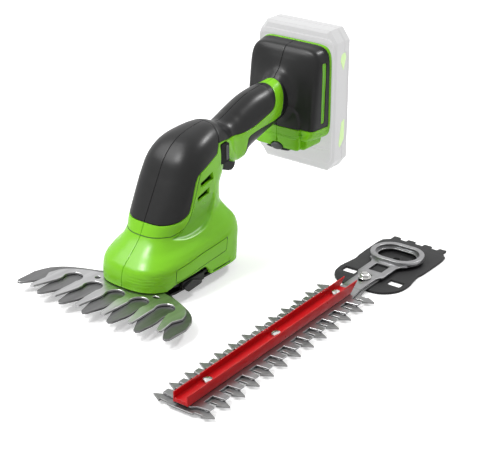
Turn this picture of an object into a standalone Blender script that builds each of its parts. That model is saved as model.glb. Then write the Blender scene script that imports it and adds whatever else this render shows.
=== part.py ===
"""Cordless hand-held garden shear with its hedge-trimming head, modelled as separate pieces.

Metres, +Z up. The origin is under the middle of the foot that the tool stands on; +Y runs from the
blades back to the battery and +X to the right of whoever holds the tool.
"""

import math
from typing import NamedTuple

import bmesh
import bpy
import numpy as np
from mathutils import Matrix, Vector

# Fits
GAP = 0.0003
RUNNING_GAP = 0.0004
SEAM = 0.0003

# Housing: base, tower, handle
WALL = 0.0024
COVER_THICKNESS = 0.0018
COVER_SEAT = COVER_THICKNESS + GAP
COVER_JOINT = 0.00036
COVERED_WALL = 0.0021
BASE_HALF_WIDTH = 0.035
BASE_FRONT = -0.053
BASE_REAR = 0.053
BASE_BOTTOM_FRONT = 0.013
BASE_BOTTOM_REAR = 0.0088
SHOULDER_HALF_WIDTH = 0.0285
TOWER_HALF_WIDTH = 0.025
BEND_HALF_WIDTH = 0.0205
HANDLE_HALF_WIDTH = 0.016
HANDLE_END_HALF_WIDTH = 0.013
HANDLE_FRONT = 0.060
HANDLE_LENGTH = 0.072
HANDLE_END = HANDLE_FRONT + HANDLE_LENGTH
RING_POINTS = 24
INNER_RING_POINTS = 16
SPRING_STEPS = 6
FLAT_ANGLE = 1.5
SAME_POINT = 0.000002

# Battery holder
HOLDER_HALF_WIDTH = 0.035
HOLDER_DEPTH = 0.0314
HOLDER_RIM = HANDLE_END + HOLDER_DEPTH
HOLDER_TOP = 0.1512
HOLDER_BOTTOM = 0.0725
HOLDER_BORDER = 0.0845
RIM_THICKNESS = 0.0025
LOBE_HALF_WIDTH = 0.027
LOBE_BOTTOM = 0.066

# Battery pack
PACK_HALF_WIDTH = 0.0382
PACK_TOP = 0.1625
PACK_BOTTOM = 0.0430
PACK_DEPTH = 0.0308
PACK_FRONT = HOLDER_RIM + GAP
PACK_REAR = PACK_FRONT + PACK_DEPTH
PACK_CHAMFER = 0.0045
TONGUE_HALF_WIDTH = 0.024
TONGUE_BOTTOM = 0.090
TONGUE_TOP = 0.138
TONGUE_LENGTH = 0.0044
TERMINAL_DEPTH = 0.0041
BOARD_THICKNESS = 0.0016
LATCH_HALF_WIDTH = 0.0115
LATCH_HEIGHT = 0.0060
LATCH_TOP = 0.0695
LATCH_LENGTH = 0.0232
LATCH_ENGAGEMENT = 0.0020
LATCH_TRAVEL = 0.0025

# Drive
ECCENTRIC_THROW = 0.004
ECCENTRIC_RADIUS = 0.0115
DRIVE_AXIS_Y = 0.016
GEAR_MODULE = 0.0008
PINION_TEETH = 9
GEAR_TEETH = 34
GEAR_BOTTOM = 0.024
GEAR_THICKNESS = 0.005
PIN_RADIUS = 0.003
CLIP_THICKNESS = 0.0008
SHAFT_RADIUS = 0.00115
MOUNT_BOTTOM = 0.0315
MOUNT_THICKNESS = 0.003
MOTOR_RADIUS = 0.0135
MOTOR_LENGTH = 0.030
MOTOR_CAP_LENGTH = 0.005
BOTTOM_PLATE_LOW = 0.0123
BOTTOM_PLATE_THICKNESS = 0.0023

# Shear head
FOOT_HALF_WIDTH = 0.020
FOOT_HALF_LENGTH = 0.035
CARRIER_BOTTOM = 0.0059
CARRIER_THICKNESS = 0.0018
BLADE_THICKNESS = 0.0018
LOWER_BLADE_TOP = 0.0098
UPPER_BLADE_TOP = 0.0119
SHEAR_TEETH = 7
SHEAR_PITCH = 0.0243
SHEAR_TIP_Y = -0.0948
SHEAR_TIP_BOW = 0.447
SHEAR_FAN_RADIUS = 0.236
SHEAR_PIVOT_Y = -0.0127
SHEAR_REST_TURN = math.radians(2.2)
GULLET_RADIUS = 0.0075

# Hedge head, in its own frame: +Y runs back from its first teeth, X across
HEDGE_X = 0.1308
HEDGE_Y = -0.1376
HEDGE_TURN = math.radians(1.5)
HEDGE_TEETH = 13
HEDGE_PITCH = 0.016
HEDGE_TIP = 0.0252
HEDGE_BARB = 0.017
HEDGE_BARB_SPREAD = 0.0043
HEDGE_NECK = 0.0025
HEDGE_SPINE = 0.0105
HEDGE_NOSE = 0.0035
HEDGE_BLADE_THICKNESS = 0.0015
PLATE_THICKNESS = 0.002
MOVING_TIP = 0.019
MOVING_ROOT = 0.010
MOVING_OFFSET = 0.005
CHANNEL_HALF_WIDTH = 0.006
CHANNEL_HEIGHT = 0.0075
CHANNEL_SHEET = 0.0015
CHANNEL_START = -0.0032
CHANNEL_END = (HEDGE_TEETH - 1) * HEDGE_PITCH + 0.007
CHANNEL_SCREW_RADIUS = 0.0020
SCREW_PLACES = (0.0253, 0.1021, 0.1783)
GUIDE_BOLT_RADIUS = 0.0025
MOVING_BLADE_END = CHANNEL_END + 0.001
FIXED_BLADE_END = CHANNEL_END + 0.028
GUIDE_BOLT_Y = FIXED_BLADE_END - 0.0075
YOKE_SHOULDER = FIXED_BLADE_END + 0.023
YOKE_CENTRE = YOKE_SHOULDER + 0.018
HEDGE_PLATE_END = YOKE_CENTRE + 0.037
YOKE_HALF_ACROSS = 0.021
YOKE_HALF_ALONG = 0.01575
YOKE_WALL = 0.004
YOKE_HEIGHT = 0.004

COLOURS = {
    "green": ((0.27, 0.55, 0.05), 0.35, 0.0),
    "black": ((0.045, 0.045, 0.045), 0.55, 0.0),
    "dark": ((0.025, 0.025, 0.025), 0.6, 0.0),
    "pack": ((0.75, 0.76, 0.76), 0.4, 0.0),
    "steel": ((0.42, 0.42, 0.43), 0.35, 1.0),
    "bright": ((0.7, 0.7, 0.68), 0.25, 1.0),
    "red": ((0.55, 0.01, 0.01), 0.4, 0.0),
    "board": ((0.03, 0.18, 0.07), 0.5, 0.0),
}


class Station(NamedTuple):
    """One cross-section of the housing, in the plane through its front and rear points and the X axis."""

    front_y: float
    front_z: float
    rear_y: float
    rear_z: float
    half_width: float
    front_curve: float
    rear_curve: float
    taper: float
    wall: float


def along_handle(share):
    """The y at a share of the handle's length."""
    return HANDLE_FRONT + share * HANDLE_LENGTH


def body_stations():
    base, shoulder, tower = BASE_HALF_WIDTH, SHOULDER_HALF_WIDTH, TOWER_HALF_WIDTH
    low_front, low_rear = BASE_BOTTOM_FRONT, BASE_BOTTOM_REAR
    bend, handle, end = BEND_HALF_WIDTH, HANDLE_HALF_WIDTH, HANDLE_END_HALF_WIDTH
    deep = COVER_SEAT + COVERED_WALL
    return [
        Station(BASE_FRONT, low_front, BASE_REAR - 0.001, low_rear, base, 3.0, 5.0, 0.02, WALL),
        Station(BASE_FRONT, 0.020, BASE_REAR, 0.022, base, 3.0, 5.0, 0.02, WALL),
        Station(BASE_FRONT + 0.002, 0.027, BASE_REAR + 0.001, 0.032, base - 0.0005, 3.0, 5.0, 0.03, WALL),
        Station(BASE_FRONT + 0.006, 0.0315, BASE_REAR, 0.040, base - 0.0025, 2.8, 4.5, 0.03, WALL),
        Station(BASE_FRONT + 0.013, 0.0375, BASE_REAR - 0.002, 0.046, shoulder, 2.7, 4.0, 0.03, WALL),
        Station(-0.0320, 0.0455, 0.0480, 0.0530, tower, 2.7, 3.5, 0.08, WALL),
        Station(-0.0270, 0.0550, 0.0460, 0.0600, tower, 2.9, 3.2, 0.10, deep),
        Station(-0.0176, 0.0720, 0.0470, 0.0710, tower, 3.0, 3.0, 0.12, deep),
        Station(-0.0100, 0.0857, 0.0500, 0.0770, tower, 3.0, 3.0, 0.14, deep),
        Station(-0.0020, 0.0994, 0.0530, 0.0810, tower - 0.001, 3.0, 2.6, 0.12, deep),
        Station(0.0110, 0.1095, 0.0560, 0.0820, bend + 0.002, 2.8, 2.5, 0.10, deep),
        Station(0.0290, 0.1142, 0.0590, 0.0810, bend, 2.6, 2.4, 0.05, deep),
        Station(0.0460, 0.1150, 0.0620, 0.0790, bend - 0.002, 2.4, 2.3, 0.0, deep),
        Station(HANDLE_FRONT, 0.1105, along_handle(0.083), 0.0770, handle, 2.2, 2.2, 0.0, deep),
        Station(along_handle(0.153), 0.1135, along_handle(0.236), 0.0765, handle, 2.2, 2.2, 0.0, deep),
        Station(along_handle(0.272), 0.1170, along_handle(0.347), 0.0785, handle, 2.2, 2.2, 0.0, deep),
        Station(along_handle(0.486), 0.1220, along_handle(0.583), 0.0845, handle, 2.2, 2.2, 0.0, deep),
        Station(along_handle(0.694), 0.1243, along_handle(0.778), 0.0885, handle, 2.2, 2.2, 0.0, deep),
        Station(along_handle(0.889), 0.1252, along_handle(0.958), 0.0910, end + 0.001, 2.2, 2.2, 0.0, deep),
        Station(HANDLE_END, 0.1262, along_handle(1.069), 0.0925, end, 2.2, 2.2, 0.0, deep),
    ]


def holder_stations():
    wide, deep = HOLDER_HALF_WIDTH, COVER_SEAT + COVERED_WALL
    rim, top, bottom = HOLDER_RIM, HOLDER_TOP, HOLDER_BOTTOM
    return [
        Station(rim - 0.0334, 0.1235, rim - 0.0284, 0.0945, 0.0112, 2.2, 2.2, 0.0, 0.0005),
        Station(rim - 0.0289, 0.1280, rim - 0.0259, 0.0895, 0.0145, 2.2, 2.2, 0.0, deep),
        Station(rim - 0.0239, 0.1330, rim - 0.0249, 0.0855, 0.0180, 2.3, 2.4, 0.0, deep),
        Station(rim - 0.0199, top - 0.0128, rim - 0.0244, bottom + 0.0065, 0.0240, 2.8, 3.5, 0.0, deep),
        Station(rim - 0.0164, top - 0.0078, rim - 0.0244, bottom + 0.0030, 0.0295, 4.5, 5.0, 0.0, deep),
        Station(rim - 0.0129, top - 0.0032, rim - 0.0219, bottom + 0.0010, wide - 0.002, 6.0, 6.0, 0.0, deep),
        Station(rim - 0.0074, top - 0.0010, rim - 0.0134, bottom, wide - 0.0005, 7.0, 7.0, 0.0, deep),
        Station(rim, top, rim, bottom, wide, 8.0, 8.0, 0.0, deep),
    ]


def holder_hollow_stations():
    """The holder's inside: a neck from the handle that opens into the box behind the covers."""
    wide, deep = HOLDER_HALF_WIDTH, COVER_SEAT + COVERED_WALL
    rim, top, bottom = HOLDER_RIM, HOLDER_TOP, HOLDER_BOTTOM
    return [
        Station(rim - 0.0400, 0.1180, rim - 0.0355, 0.0980, 0.0075, 2.2, 2.2, 0.0, 0.0),
        Station(rim - 0.0235, 0.1225, rim - 0.0215, 0.0950, 0.0095, 2.2, 2.2, 0.0, 0.0),
        Station(rim - 0.0155, top - 0.0180, rim - 0.0175, bottom + 0.0130, 0.0190, 3.5, 3.5, 0.0, 0.0),
        Station(rim - 0.0118, top - 0.0105, rim - 0.0160, bottom + 0.0075, 0.0265, 5.0, 5.0, 0.0, 0.0),
        Station(rim - 0.0080, top - 0.0065, rim - 0.0120, bottom + 0.0055, wide - 0.0055, 6.0, 6.0, 0.0, 0.0),
        Station(rim, top - deep, rim, bottom + deep, wide - deep, 8.0, 8.0, 0.0, 0.0),
    ]


# Blender helpers


def clear_scene():
    for obj in list(bpy.data.objects):
        bpy.data.objects.remove(obj)


def make_materials():
    made = {}
    for name, (colour, roughness, metallic) in COLOURS.items():
        material = bpy.data.materials.new(name)
        material.use_nodes = True
        shader = material.node_tree.nodes["Principled BSDF"]
        shader.inputs["Base Color"].default_value = (*colour, 1.0)
        shader.inputs["Roughness"].default_value = roughness
        shader.inputs["Metallic"].default_value = metallic
        material.diffuse_color = (*colour, 1.0)
        made[name] = material
    return made


def mesh_object(name, points, faces, material="dark"):
    """A closed mesh with its faces turned outwards."""
    mesh = bpy.data.meshes.new(name)
    mesh.from_pydata([tuple(p) for p in points], [], faces)
    shape = bmesh.new()
    shape.from_mesh(mesh)
    bmesh.ops.recalc_face_normals(shape, faces=shape.faces)
    shape.to_mesh(mesh)
    shape.free()
    mesh.materials.append(MATERIALS[material])
    obj = bpy.data.objects.new(name, mesh)
    bpy.context.scene.collection.objects.link(obj)
    return obj


def prism(name, outline, axis, low, high, material="dark"):
    """The outline pushed along an axis: its pairs are (y, z) for X, (x, z) for Y and (x, y) for Z."""
    count = len(outline)
    points = []
    for level in (low, high):
        for u, v in outline:
            points.append({"X": (level, u, v), "Y": (u, level, v), "Z": (u, v, level)}[axis])
    faces = [tuple(range(count)), tuple(range(count, 2 * count))]
    faces += [(i, (i + 1) % count, count + (i + 1) % count, count + i) for i in range(count)]
    return mesh_object(name, points, faces, material)


def circle(centre, radius, count=24, start=0.0):
    step = 2 * math.pi / count
    return [
        (centre[0] + radius * math.cos(start + i * step), centre[1] + radius * math.sin(start + i * step))
        for i in range(count)
    ]


def rectangle(low_u, low_v, high_u, high_v, corner=0.0, steps=3):
    """A rectangle's outline, with its corners rounded where corner isn't 0."""
    if corner == 0.0:
        return [(low_u, low_v), (high_u, low_v), (high_u, high_v), (low_u, high_v)]
    outline = []
    middles = [
        (high_u - corner, low_v + corner, -90),
        (high_u - corner, high_v - corner, 0),
        (low_u + corner, high_v - corner, 90),
        (low_u + corner, low_v + corner, 180),
    ]
    for u, v, turn in middles:
        for i in range(steps + 1):
            angle = math.radians(turn + 90 * i / steps)
            outline.append((u + corner * math.cos(angle), v + corner * math.sin(angle)))
    return outline


def arc(centre, radius, start, end, steps):
    """Points from start to end in degrees, both kept."""
    return [
        (
            centre[0] + radius * math.cos(math.radians(start + (end - start) * i / steps)),
            centre[1] + radius * math.sin(math.radians(start + (end - start) * i / steps)),
        )
        for i in range(steps + 1)
    ]


def mirrored(half):
    """An outline whose first half runs on the +X side, closed by its mirror image."""
    return half + [(-x, y) for x, y in reversed(half) if abs(x) > 1e-9]


def cylinder(name, centre, axis, radius, low, high, material="dark", count=16):
    return prism(name, circle(centre, radius, count), axis, low, high, material)


def boolean(body, tool, operation="DIFFERENCE", keep=False):
    """Cuts, joins or intersects body with tool for good, and drops tool unless it is kept."""
    modifier = body.modifiers.new("shape", "BOOLEAN")
    modifier.operation = operation
    modifier.solver = "EXACT"
    modifier.object = tool
    graph = bpy.context.evaluated_depsgraph_get()
    graph.update()
    result = bpy.data.meshes.new_from_object(body.evaluated_get(graph))
    body.modifiers.clear()
    body.data = result
    if not keep:
        bpy.data.objects.remove(tool)
    return body


def copy_of(obj, name):
    twin = bpy.data.objects.new(name, obj.data.copy())
    bpy.context.scene.collection.objects.link(twin)
    return twin


def smooth(obj, angle=35):
    """Rounds the shading and merges the flat faces that a Boolean leaves in pieces."""
    shape = bmesh.new()
    shape.from_mesh(obj.data)
    bmesh.ops.remove_doubles(shape, verts=shape.verts, dist=SAME_POINT)
    flat = math.radians(FLAT_ANGLE)
    bmesh.ops.dissolve_limit(shape, angle_limit=flat, verts=shape.verts, edges=shape.edges)
    bmesh.ops.triangulate(shape, faces=shape.faces, quad_method="BEAUTY", ngon_method="BEAUTY")
    shape.to_mesh(obj.data)
    shape.free()
    obj.data.shade_smooth()
    obj.data.set_sharp_from_angle(angle=math.radians(angle))
    return obj


def axis_empty(name, place):
    empty = bpy.data.objects.new(name, None)
    empty.location = place
    empty.empty_display_size = 0.01
    bpy.context.scene.collection.objects.link(empty)
    return empty


def carry(empty, *pieces):
    """Parents the pieces to the empty on their joint's axis and leaves them where they are."""
    for piece in pieces:
        piece.parent = empty
        piece.matrix_parent_inverse = Matrix.Translation(-Vector(empty.location))


def grow(outline, distance):
    """The outline with every side moved outwards; it is given in counter-clockwise order."""
    moved = []
    count = len(outline)
    for i in range(count):
        before, here, after = (np.array(outline[(i + k) % count]) for k in (-1, 0, 1))
        first = (here - before) / np.linalg.norm(here - before)
        second = (after - here) / np.linalg.norm(after - here)
        normal = np.array([first[1] + second[1], -first[0] - second[0]])
        normal /= 1 + first @ second
        moved.append(tuple(here + normal * distance))
    return moved


# Lofts


def power(value, exponent):
    return np.sign(value) * np.abs(value) ** exponent


def ring(station, count=RING_POINTS):
    """One cross-section: a superellipse with its own fullness in front and behind."""
    front = np.array([station.front_y, station.front_z])
    rear = np.array([station.rear_y, station.rear_z])
    angle = 2 * math.pi * np.arange(count) / count
    along, across = np.cos(angle), np.sin(angle)
    curve = np.where(along > 0, station.rear_curve, station.front_curve)
    along, across = power(along, 2 / curve), power(across, 2 / curve)
    width = station.half_width * (1 - station.taper * along)
    middle = (front + rear) / 2 + np.outer(along, (rear - front) / 2)
    return np.column_stack([width * across, middle])


def section_grid(stations, refined, count=RING_POINTS):
    """Rings of all stations, with one more after each station whose number is in refined."""
    rows = []
    for i, station in enumerate(stations):
        rows.append(station)
        if i in refined:
            rows.append(middle_station(stations, i))
    return np.array([ring(row, count) for row in rows]), np.array([row.wall for row in rows])


def middle_station(stations, i):
    """Halfway along a smooth curve through the four stations around the gap after station i."""
    before = np.array(stations[max(i - 1, 0)])
    first, second = np.array(stations[i]), np.array(stations[i + 1])
    after = np.array(stations[min(i + 2, len(stations) - 1)])
    return Station(*((9 * (first + second) - before - after) / 16))


def inset(grid, depth):
    """The grid with each point moved inwards, square to the surface."""
    along = np.gradient(grid, axis=0)
    around = np.roll(grid, -1, axis=1) - np.roll(grid, 1, axis=1)
    normal = np.cross(along, around)
    normal /= np.linalg.norm(normal, axis=2, keepdims=True) + 1e-12
    outwards = grid - grid.mean(axis=1, keepdims=True)
    normal *= np.sign((normal * outwards).sum(axis=2, keepdims=True))
    return grid - normal * np.reshape(depth, (-1, 1, 1))


def extended(grid, first=None, last=None):
    """The grid with its first or last ring repeated at a distance, which opens what it cuts."""
    rows = list(grid)
    if first is not None:
        rows.insert(0, rows[0] + np.array(first))
    if last is not None:
        rows.append(rows[-1] + np.array(last))
    return np.array(rows)


def loft(name, grid, material="dark"):
    rows, count = grid.shape[:2]
    faces = [tuple(range(count)), tuple(range((rows - 1) * count, rows * count))]
    for i in range(rows - 1):
        for k in range(count):
            a, b = i * count + k, i * count + (k + 1) % count
            faces += [(a, b, b + count), (a, b + count, a + count)]
    return mesh_object(name, grid.reshape(-1, 3), faces, material)


class Form:
    """The outer form of a housing and the same form, with fewer rings, at a depth under its skin."""

    def __init__(self, stations, refined, first, last):
        self.grid, _ = section_grid(stations, refined)
        self.inner, self.walls = section_grid(stations, (), INNER_RING_POINTS)
        self.first, self.last = first, last

    def outer(self, name, material="dark"):
        return loft(name, self.grid, material)

    def at_depth(self, name, depth):
        shrunk = inset(self.inner, np.full(len(self.inner), depth))
        return loft(name, extended(shrunk, self.first, self.last))

    def cavity(self, name, clearance=0.0):
        shrunk = inset(self.inner, self.walls + clearance)
        return loft(name, extended(shrunk, self.first, self.last))


def holder_hollow(name):
    grid, _ = section_grid(holder_hollow_stations(), (), INNER_RING_POINTS)
    return loft(name, extended(grid, last=(0, 0.010, 0)))


# Where the black covers lie, as side views in (y, z), counter-clockwise

CAP_FRONT_EDGE = 0.0560
GRIP_BORDER = ((0.0320, 0.0968), (0.0530, 0.1300))
GRIP_CORNER_Z = 0.1038
END_RING_REAR = ((HANDLE_END + 0.0008, 0.1300), (HANDLE_END - 0.0117, HOLDER_BORDER))


def on_line(line, z):
    """The y of a slanted border at a height."""
    (first_y, first_z), (last_y, last_z) = line
    return first_y + (last_y - first_y) * (z - first_z) / (last_z - first_z)


def head_cover_outline():
    lower = [(-0.070, CAP_FRONT_EDGE), (-0.0250, CAP_FRONT_EDGE), (-0.0134, 0.0579), (-0.0052, 0.0615)]
    rear = [(-0.0023, 0.0671), (0.0023, 0.0805), (0.0048, 0.0856), (0.0085, 0.0888), (0.0180, 0.0922)]
    return lower + rear + list(GRIP_BORDER) + [(-0.070, 0.130)]


def grip_outline():
    start = [(on_line(GRIP_BORDER, z) + COVER_JOINT, z) for z in (0.130, GRIP_CORNER_Z)]
    front = [(0.0450, 0.1033), (0.0560, 0.1017)]
    shares = [(0.165, 0.1002), (0.376, 0.1015), (0.556, 0.1051), (0.699, 0.1083), (0.763, 0.1131)]
    shares += [(0.814, 0.1197), (0.878, 0.130)]
    return start + front + [(along_handle(share), z) for share, z in shares]


def under_grip_outline():
    low, high = 0.0700, 0.0992
    rear = [(on_line(END_RING_REAR, z) - COVER_JOINT, z) for z in (low, high)]
    shares = [(0.779, 0.0980), (0.494, 0.0969), (0.322, 0.0954), (0.267, 0.0935), (0.233, 0.0831)]
    return [(along_handle(0.233), low)] + rear + [(along_handle(share), z) for share, z in shares]


def holder_cover_outline():
    top = HOLDER_TOP + 0.01
    return [
        (END_RING_REAR[1][0], HOLDER_BORDER),
        (HOLDER_RIM - RIM_THICKNESS, HOLDER_BORDER),
        (HOLDER_RIM - RIM_THICKNESS, top),
        (on_line(END_RING_REAR, top), top),
    ]


def joined(shapes):
    for shape in shapes[1:]:
        boolean(shapes[0], shape, "UNION")
    return shapes[0]


def cover_shell(name, forms, outline, material="black"):
    """The skin of the forms inside a side-view outline."""
    shell = joined([form.outer(name, material) for form in forms])
    boolean(shell, joined([form.at_depth("core", COVER_THICKNESS) for form in forms]))
    boolean(shell, prism("region", outline, "X", -0.06, 0.06), "INTERSECT")
    return shell


def cover_seats(body, forms, outlines):
    """The recess that all the covers lie in, cut in one go so that its floors meet."""
    seat = joined([prism("seat", grow(outline, GAP), "X", -0.06, 0.06) for outline in outlines])
    boolean(seat, joined([form.at_depth("core", COVER_SEAT) for form in forms]))
    boolean(body, seat)


def half_space(side):
    low, high = sorted((side * SEAM / 2, side * 0.08))
    return prism("half", rectangle(-0.12, -0.02, 0.25, 0.2), "X", low, high)


def split(shell, name):
    """Left and right halves of a moulded shell, on either side of the seam."""
    halves = []
    for side, word in ((-1, "left"), (1, "right")):
        half = copy_of(shell, f"{name}_{word}")
        boolean(half, half_space(side), "INTERSECT")
        halves.append(smooth(half))
    bpy.data.objects.remove(shell)
    return halves


# Tool housing

SCREW_RADIUS = 0.0014
SCREW_HEAD_RADIUS = 0.0028
SCREW_HEAD_HEIGHT = 0.0020
SCREW_REACH = 0.0085
SCREW_RECESS = 0.0045
BOSS_RADIUS = 0.0036
RELEASE_FRONT = -0.024
RELEASE_REAR = 0.002
RELEASE_BOTTOM = CARRIER_BOTTOM + CARRIER_THICKNESS + GAP
RELEASE_TOP = 0.0155
RELEASE_DEPTH = 0.0040
RELEASE_TRAVEL = 0.0020
RELEASE_FLANGE_FRONT = -0.0200
RELEASE_FLANGE_REAR = -0.0020
RELEASE_FLANGE_TOP = 0.0225
RELEASE_FLANGE_DEPTH = 0.0020
RELEASE_FLANGE_FACE = BASE_HALF_WIDTH - WALL - 0.0015
RELEASE_SPRING_Y = -0.0110
RELEASE_SPRING_Z = 0.0185
RELEASE_SPRING_LENGTH = 0.0048
LOCK_FRONT = 0.0380
LOCK_REAR = 0.0480
LOCK_BOTTOM = 0.0860
LOCK_TOP = 0.1018
LOCK_FACE = 0.0215
LOCK_INNER = 0.0125
LOCK_TRAVEL = 0.0020
LOCK_SPRING_Y = 0.0430
LOCK_SPRING_Z = 0.0940
TRIGGER_HALF_WIDTH = 0.009
TRIGGER_AXIS = (0.0, 0.0535, 0.0850)
TRIGGER_SPRING_Y = 0.0575
TRIGGER_SPRING_LOW = 0.0873
TRIGGER_SPRING_HIGH = 0.0980
SPRING_RADIUS = 0.0022
SPRING_WIRE = 0.00035
SPRING_POST_RADIUS = 0.0030


class HousingScrew(NamedTuple):
    """A screw that pulls the halves together: its place in the side view and the half width there."""

    y: float
    z: float
    surface: float

    def seat(self):
        return -(self.surface - SCREW_RECESS)

    def recess(self):
        radius = SCREW_HEAD_RADIUS + GAP
        return cylinder("recess", (self.y, self.z), "X", radius, -0.05, self.seat(), count=12)


def housing_screws():
    return [
        HousingScrew(BASE_FRONT + 0.013, 0.0235, BASE_HALF_WIDTH * 0.82),
        HousingScrew(BASE_REAR - 0.0105, 0.0240, BASE_HALF_WIDTH * 0.91),
        HousingScrew(0.0360, 0.0660, TOWER_HALF_WIDTH * 0.82),
        HousingScrew(along_handle(0.403), 0.0905, HANDLE_HALF_WIDTH * 0.87),
        HousingScrew(HOLDER_RIM - 0.0174, HOLDER_BOTTOM + 0.0075, HOLDER_HALF_WIDTH * 0.93),
    ]


def build_housing(body_form, holder_form):
    shell = body_form.outer("housing", "green")
    boolean(shell, holder_form.outer("holder", "green"), "UNION")
    lobe = prism(
        "lobe",
        rectangle(-LOBE_HALF_WIDTH, LOBE_BOTTOM, LOBE_HALF_WIDTH, HOLDER_BOTTOM + 0.008, 0.003),
        "Y",
        HOLDER_RIM - 0.0205,
        HOLDER_RIM - 0.0004,
        "green",
    )
    boolean(shell, lobe, "UNION")
    boolean(shell, body_form.cavity("hollow"))
    boolean(shell, holder_hollow("hollow"))
    for screw in housing_screws():
        reach = screw.surface - WALL / 2
        boss = cylinder("boss", (screw.y, screw.z), "X", BOSS_RADIUS, -reach, reach, "green", 10)
        boolean(shell, boss, "UNION")
    boolean(shell, spring_seats(), "UNION")
    outlines = (head_cover_outline(), grip_outline(), under_grip_outline(), holder_cover_outline())
    cover_seats(shell, (body_form, holder_form), outlines)
    for screw in housing_screws():
        boolean(shell, screw.recess())
        place, end = (screw.y, screw.z), SCREW_REACH + GAP
        boolean(shell, cylinder("hole", place, "X", SCREW_RADIUS + GAP, -0.05, end, count=10))
    notch = grow(latch_outline(), RUNNING_GAP)
    boolean(shell, prism("latch_notch", notch, "Y", HOLDER_RIM - 0.03, HOLDER_RIM + 0.01))
    cut_openings(shell)
    return split(shell, "housing")


def spring_seats():
    """Moulded posts: one in the left half for the lock button's spring, one across for the trigger's."""
    wall = BEND_HALF_WIDTH - COVER_SEAT - COVERED_WALL / 2 - 0.001
    place = (LOCK_SPRING_Y, LOCK_SPRING_Z)
    lock_post = cylinder("seats", place, "X", SPRING_POST_RADIUS, -wall, -SEAM, "green", 12)
    middle = TRIGGER_SPRING_HIGH + GAP + SPRING_POST_RADIUS
    across = cylinder("across", (TRIGGER_SPRING_Y, middle), "X", SPRING_POST_RADIUS, -wall, wall, "green", 12)
    return boolean(lock_post, across, "UNION")


def build_housing_screws():
    for i, screw in enumerate(housing_screws()):
        place, seat = (screw.y, screw.z), screw.seat() - GAP
        shank = cylinder(f"housing_screw_{i + 1}", place, "X", SCREW_RADIUS, seat, SCREW_REACH, "bright", 10)
        head_low = seat - SCREW_HEAD_HEIGHT
        head = cylinder("head", place, "X", SCREW_HEAD_RADIUS, head_low, seat, "bright", 12)
        boolean(shank, head, "UNION")
        smooth(shank)


def cut_openings(shell):
    window = [
        (-0.0375, 0.004),
        (-0.0375, 0.0125),
        (-0.0301, 0.0160),
        (-0.0192, 0.0175),
        (0.0008, 0.0191),
        (0.0045, 0.0171),
        (0.0090, 0.0095),
        (0.0090, 0.004),
    ]
    vents = (
        [(0.0090, 0.0773), (0.0252, 0.0797), (0.0240, 0.0856), (0.0083, 0.0816)],
        [(0.0062, 0.0692), (0.0200, 0.0708), (0.0198, 0.0745), (0.0055, 0.0710)],
    )
    for side in (-1, 1):
        low, high = sorted((side * (BASE_HALF_WIDTH - 0.009), side * (BASE_HALF_WIDTH + 0.005)))
        boolean(shell, prism("window", window, "X", low, high))
        low, high = sorted((side * TOWER_HALF_WIDTH / 2, side * (TOWER_HALF_WIDTH + 0.005)))
        for vent in vents:
            boolean(shell, prism("vent", vent, "X", low, high))
    trigger_slot = rectangle(0.0505, 0.064, 0.0728, 0.0880)
    half_slot = TRIGGER_HALF_WIDTH + 0.0006
    boolean(shell, prism("slot", trigger_slot, "X", -half_slot, half_slot))
    boolean(shell, lock_slot())


def lock_slot():
    outline = rectangle(LOCK_FRONT - GAP, LOCK_BOTTOM - GAP, LOCK_REAR + GAP, LOCK_TOP + GAP, 0.002)
    return prism("lock_slot", outline, "X", LOCK_INNER - 0.003, LOCK_FACE + 0.005)


def build_covers(body_form, holder_form):
    split(cover_shell("head_cover", [body_form], head_cover_outline()), "head_cover")
    split(cover_shell("grip", [body_form], grip_outline()), "grip")
    under = cover_shell("under_grip", [body_form], under_grip_outline())
    boolean(under, housing_screws()[3].recess())
    smooth(under)
    split(cover_shell("holder_cover", [body_form, holder_form], holder_cover_outline()), "holder_cover")


# Battery pack


def build_battery():
    chamfer = PACK_CHAMFER
    levels = (
        (PACK_FRONT, chamfer * 0.5),
        (PACK_FRONT + chamfer, 0.0),
        (PACK_REAR - chamfer, 0.0),
        (PACK_REAR, chamfer),
    )
    rings = []
    for y, cut in levels:
        half_width = PACK_HALF_WIDTH - cut
        rings.append(ring(Station(y, PACK_TOP - cut, y, PACK_BOTTOM + cut, half_width, 8.0, 8.0, 0.0, WALL)))
    pack = loft("battery_pack", np.array(rings), "pack")
    tongue = prism(
        "tongue",
        rectangle(-TONGUE_HALF_WIDTH, TONGUE_BOTTOM, TONGUE_HALF_WIDTH, TONGUE_TOP, 0.003),
        "Y",
        PACK_FRONT - TONGUE_LENGTH,
        PACK_FRONT + 0.004,
        "pack",
    )
    boolean(pack, tongue, "UNION")
    outline = latch_outline()
    pocket_end = PACK_FRONT + LATCH_ENGAGEMENT + LATCH_TRAVEL + RUNNING_GAP
    boolean(pack, prism("pocket", grow(outline, RUNNING_GAP), "Y", PACK_FRONT - 0.001, pocket_end))
    smooth(pack)
    low, high = PACK_FRONT - LATCH_LENGTH, PACK_FRONT + LATCH_ENGAGEMENT
    latch = prism("battery_latch", outline, "Y", low, high, "dark")
    smooth(latch)
    carry(axis_empty("pack_slide", (0, PACK_FRONT, (PACK_TOP + PACK_BOTTOM) / 2)), pack)
    carry(axis_empty("latch_slide", (0, PACK_FRONT, LATCH_TOP - LATCH_HEIGHT / 2)), latch)


def latch_outline():
    """The latch seen from the front: a flat oval, counter-clockwise."""
    middle, half_height = LATCH_TOP - LATCH_HEIGHT / 2, LATCH_HEIGHT / 2
    turns = [math.radians(angle) for angle in range(0, 360, 15)]
    return [(LATCH_HALF_WIDTH * math.cos(a), middle + half_height * math.sin(a)) for a in turns]


# Drive: motor, gear and eccentric


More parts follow.
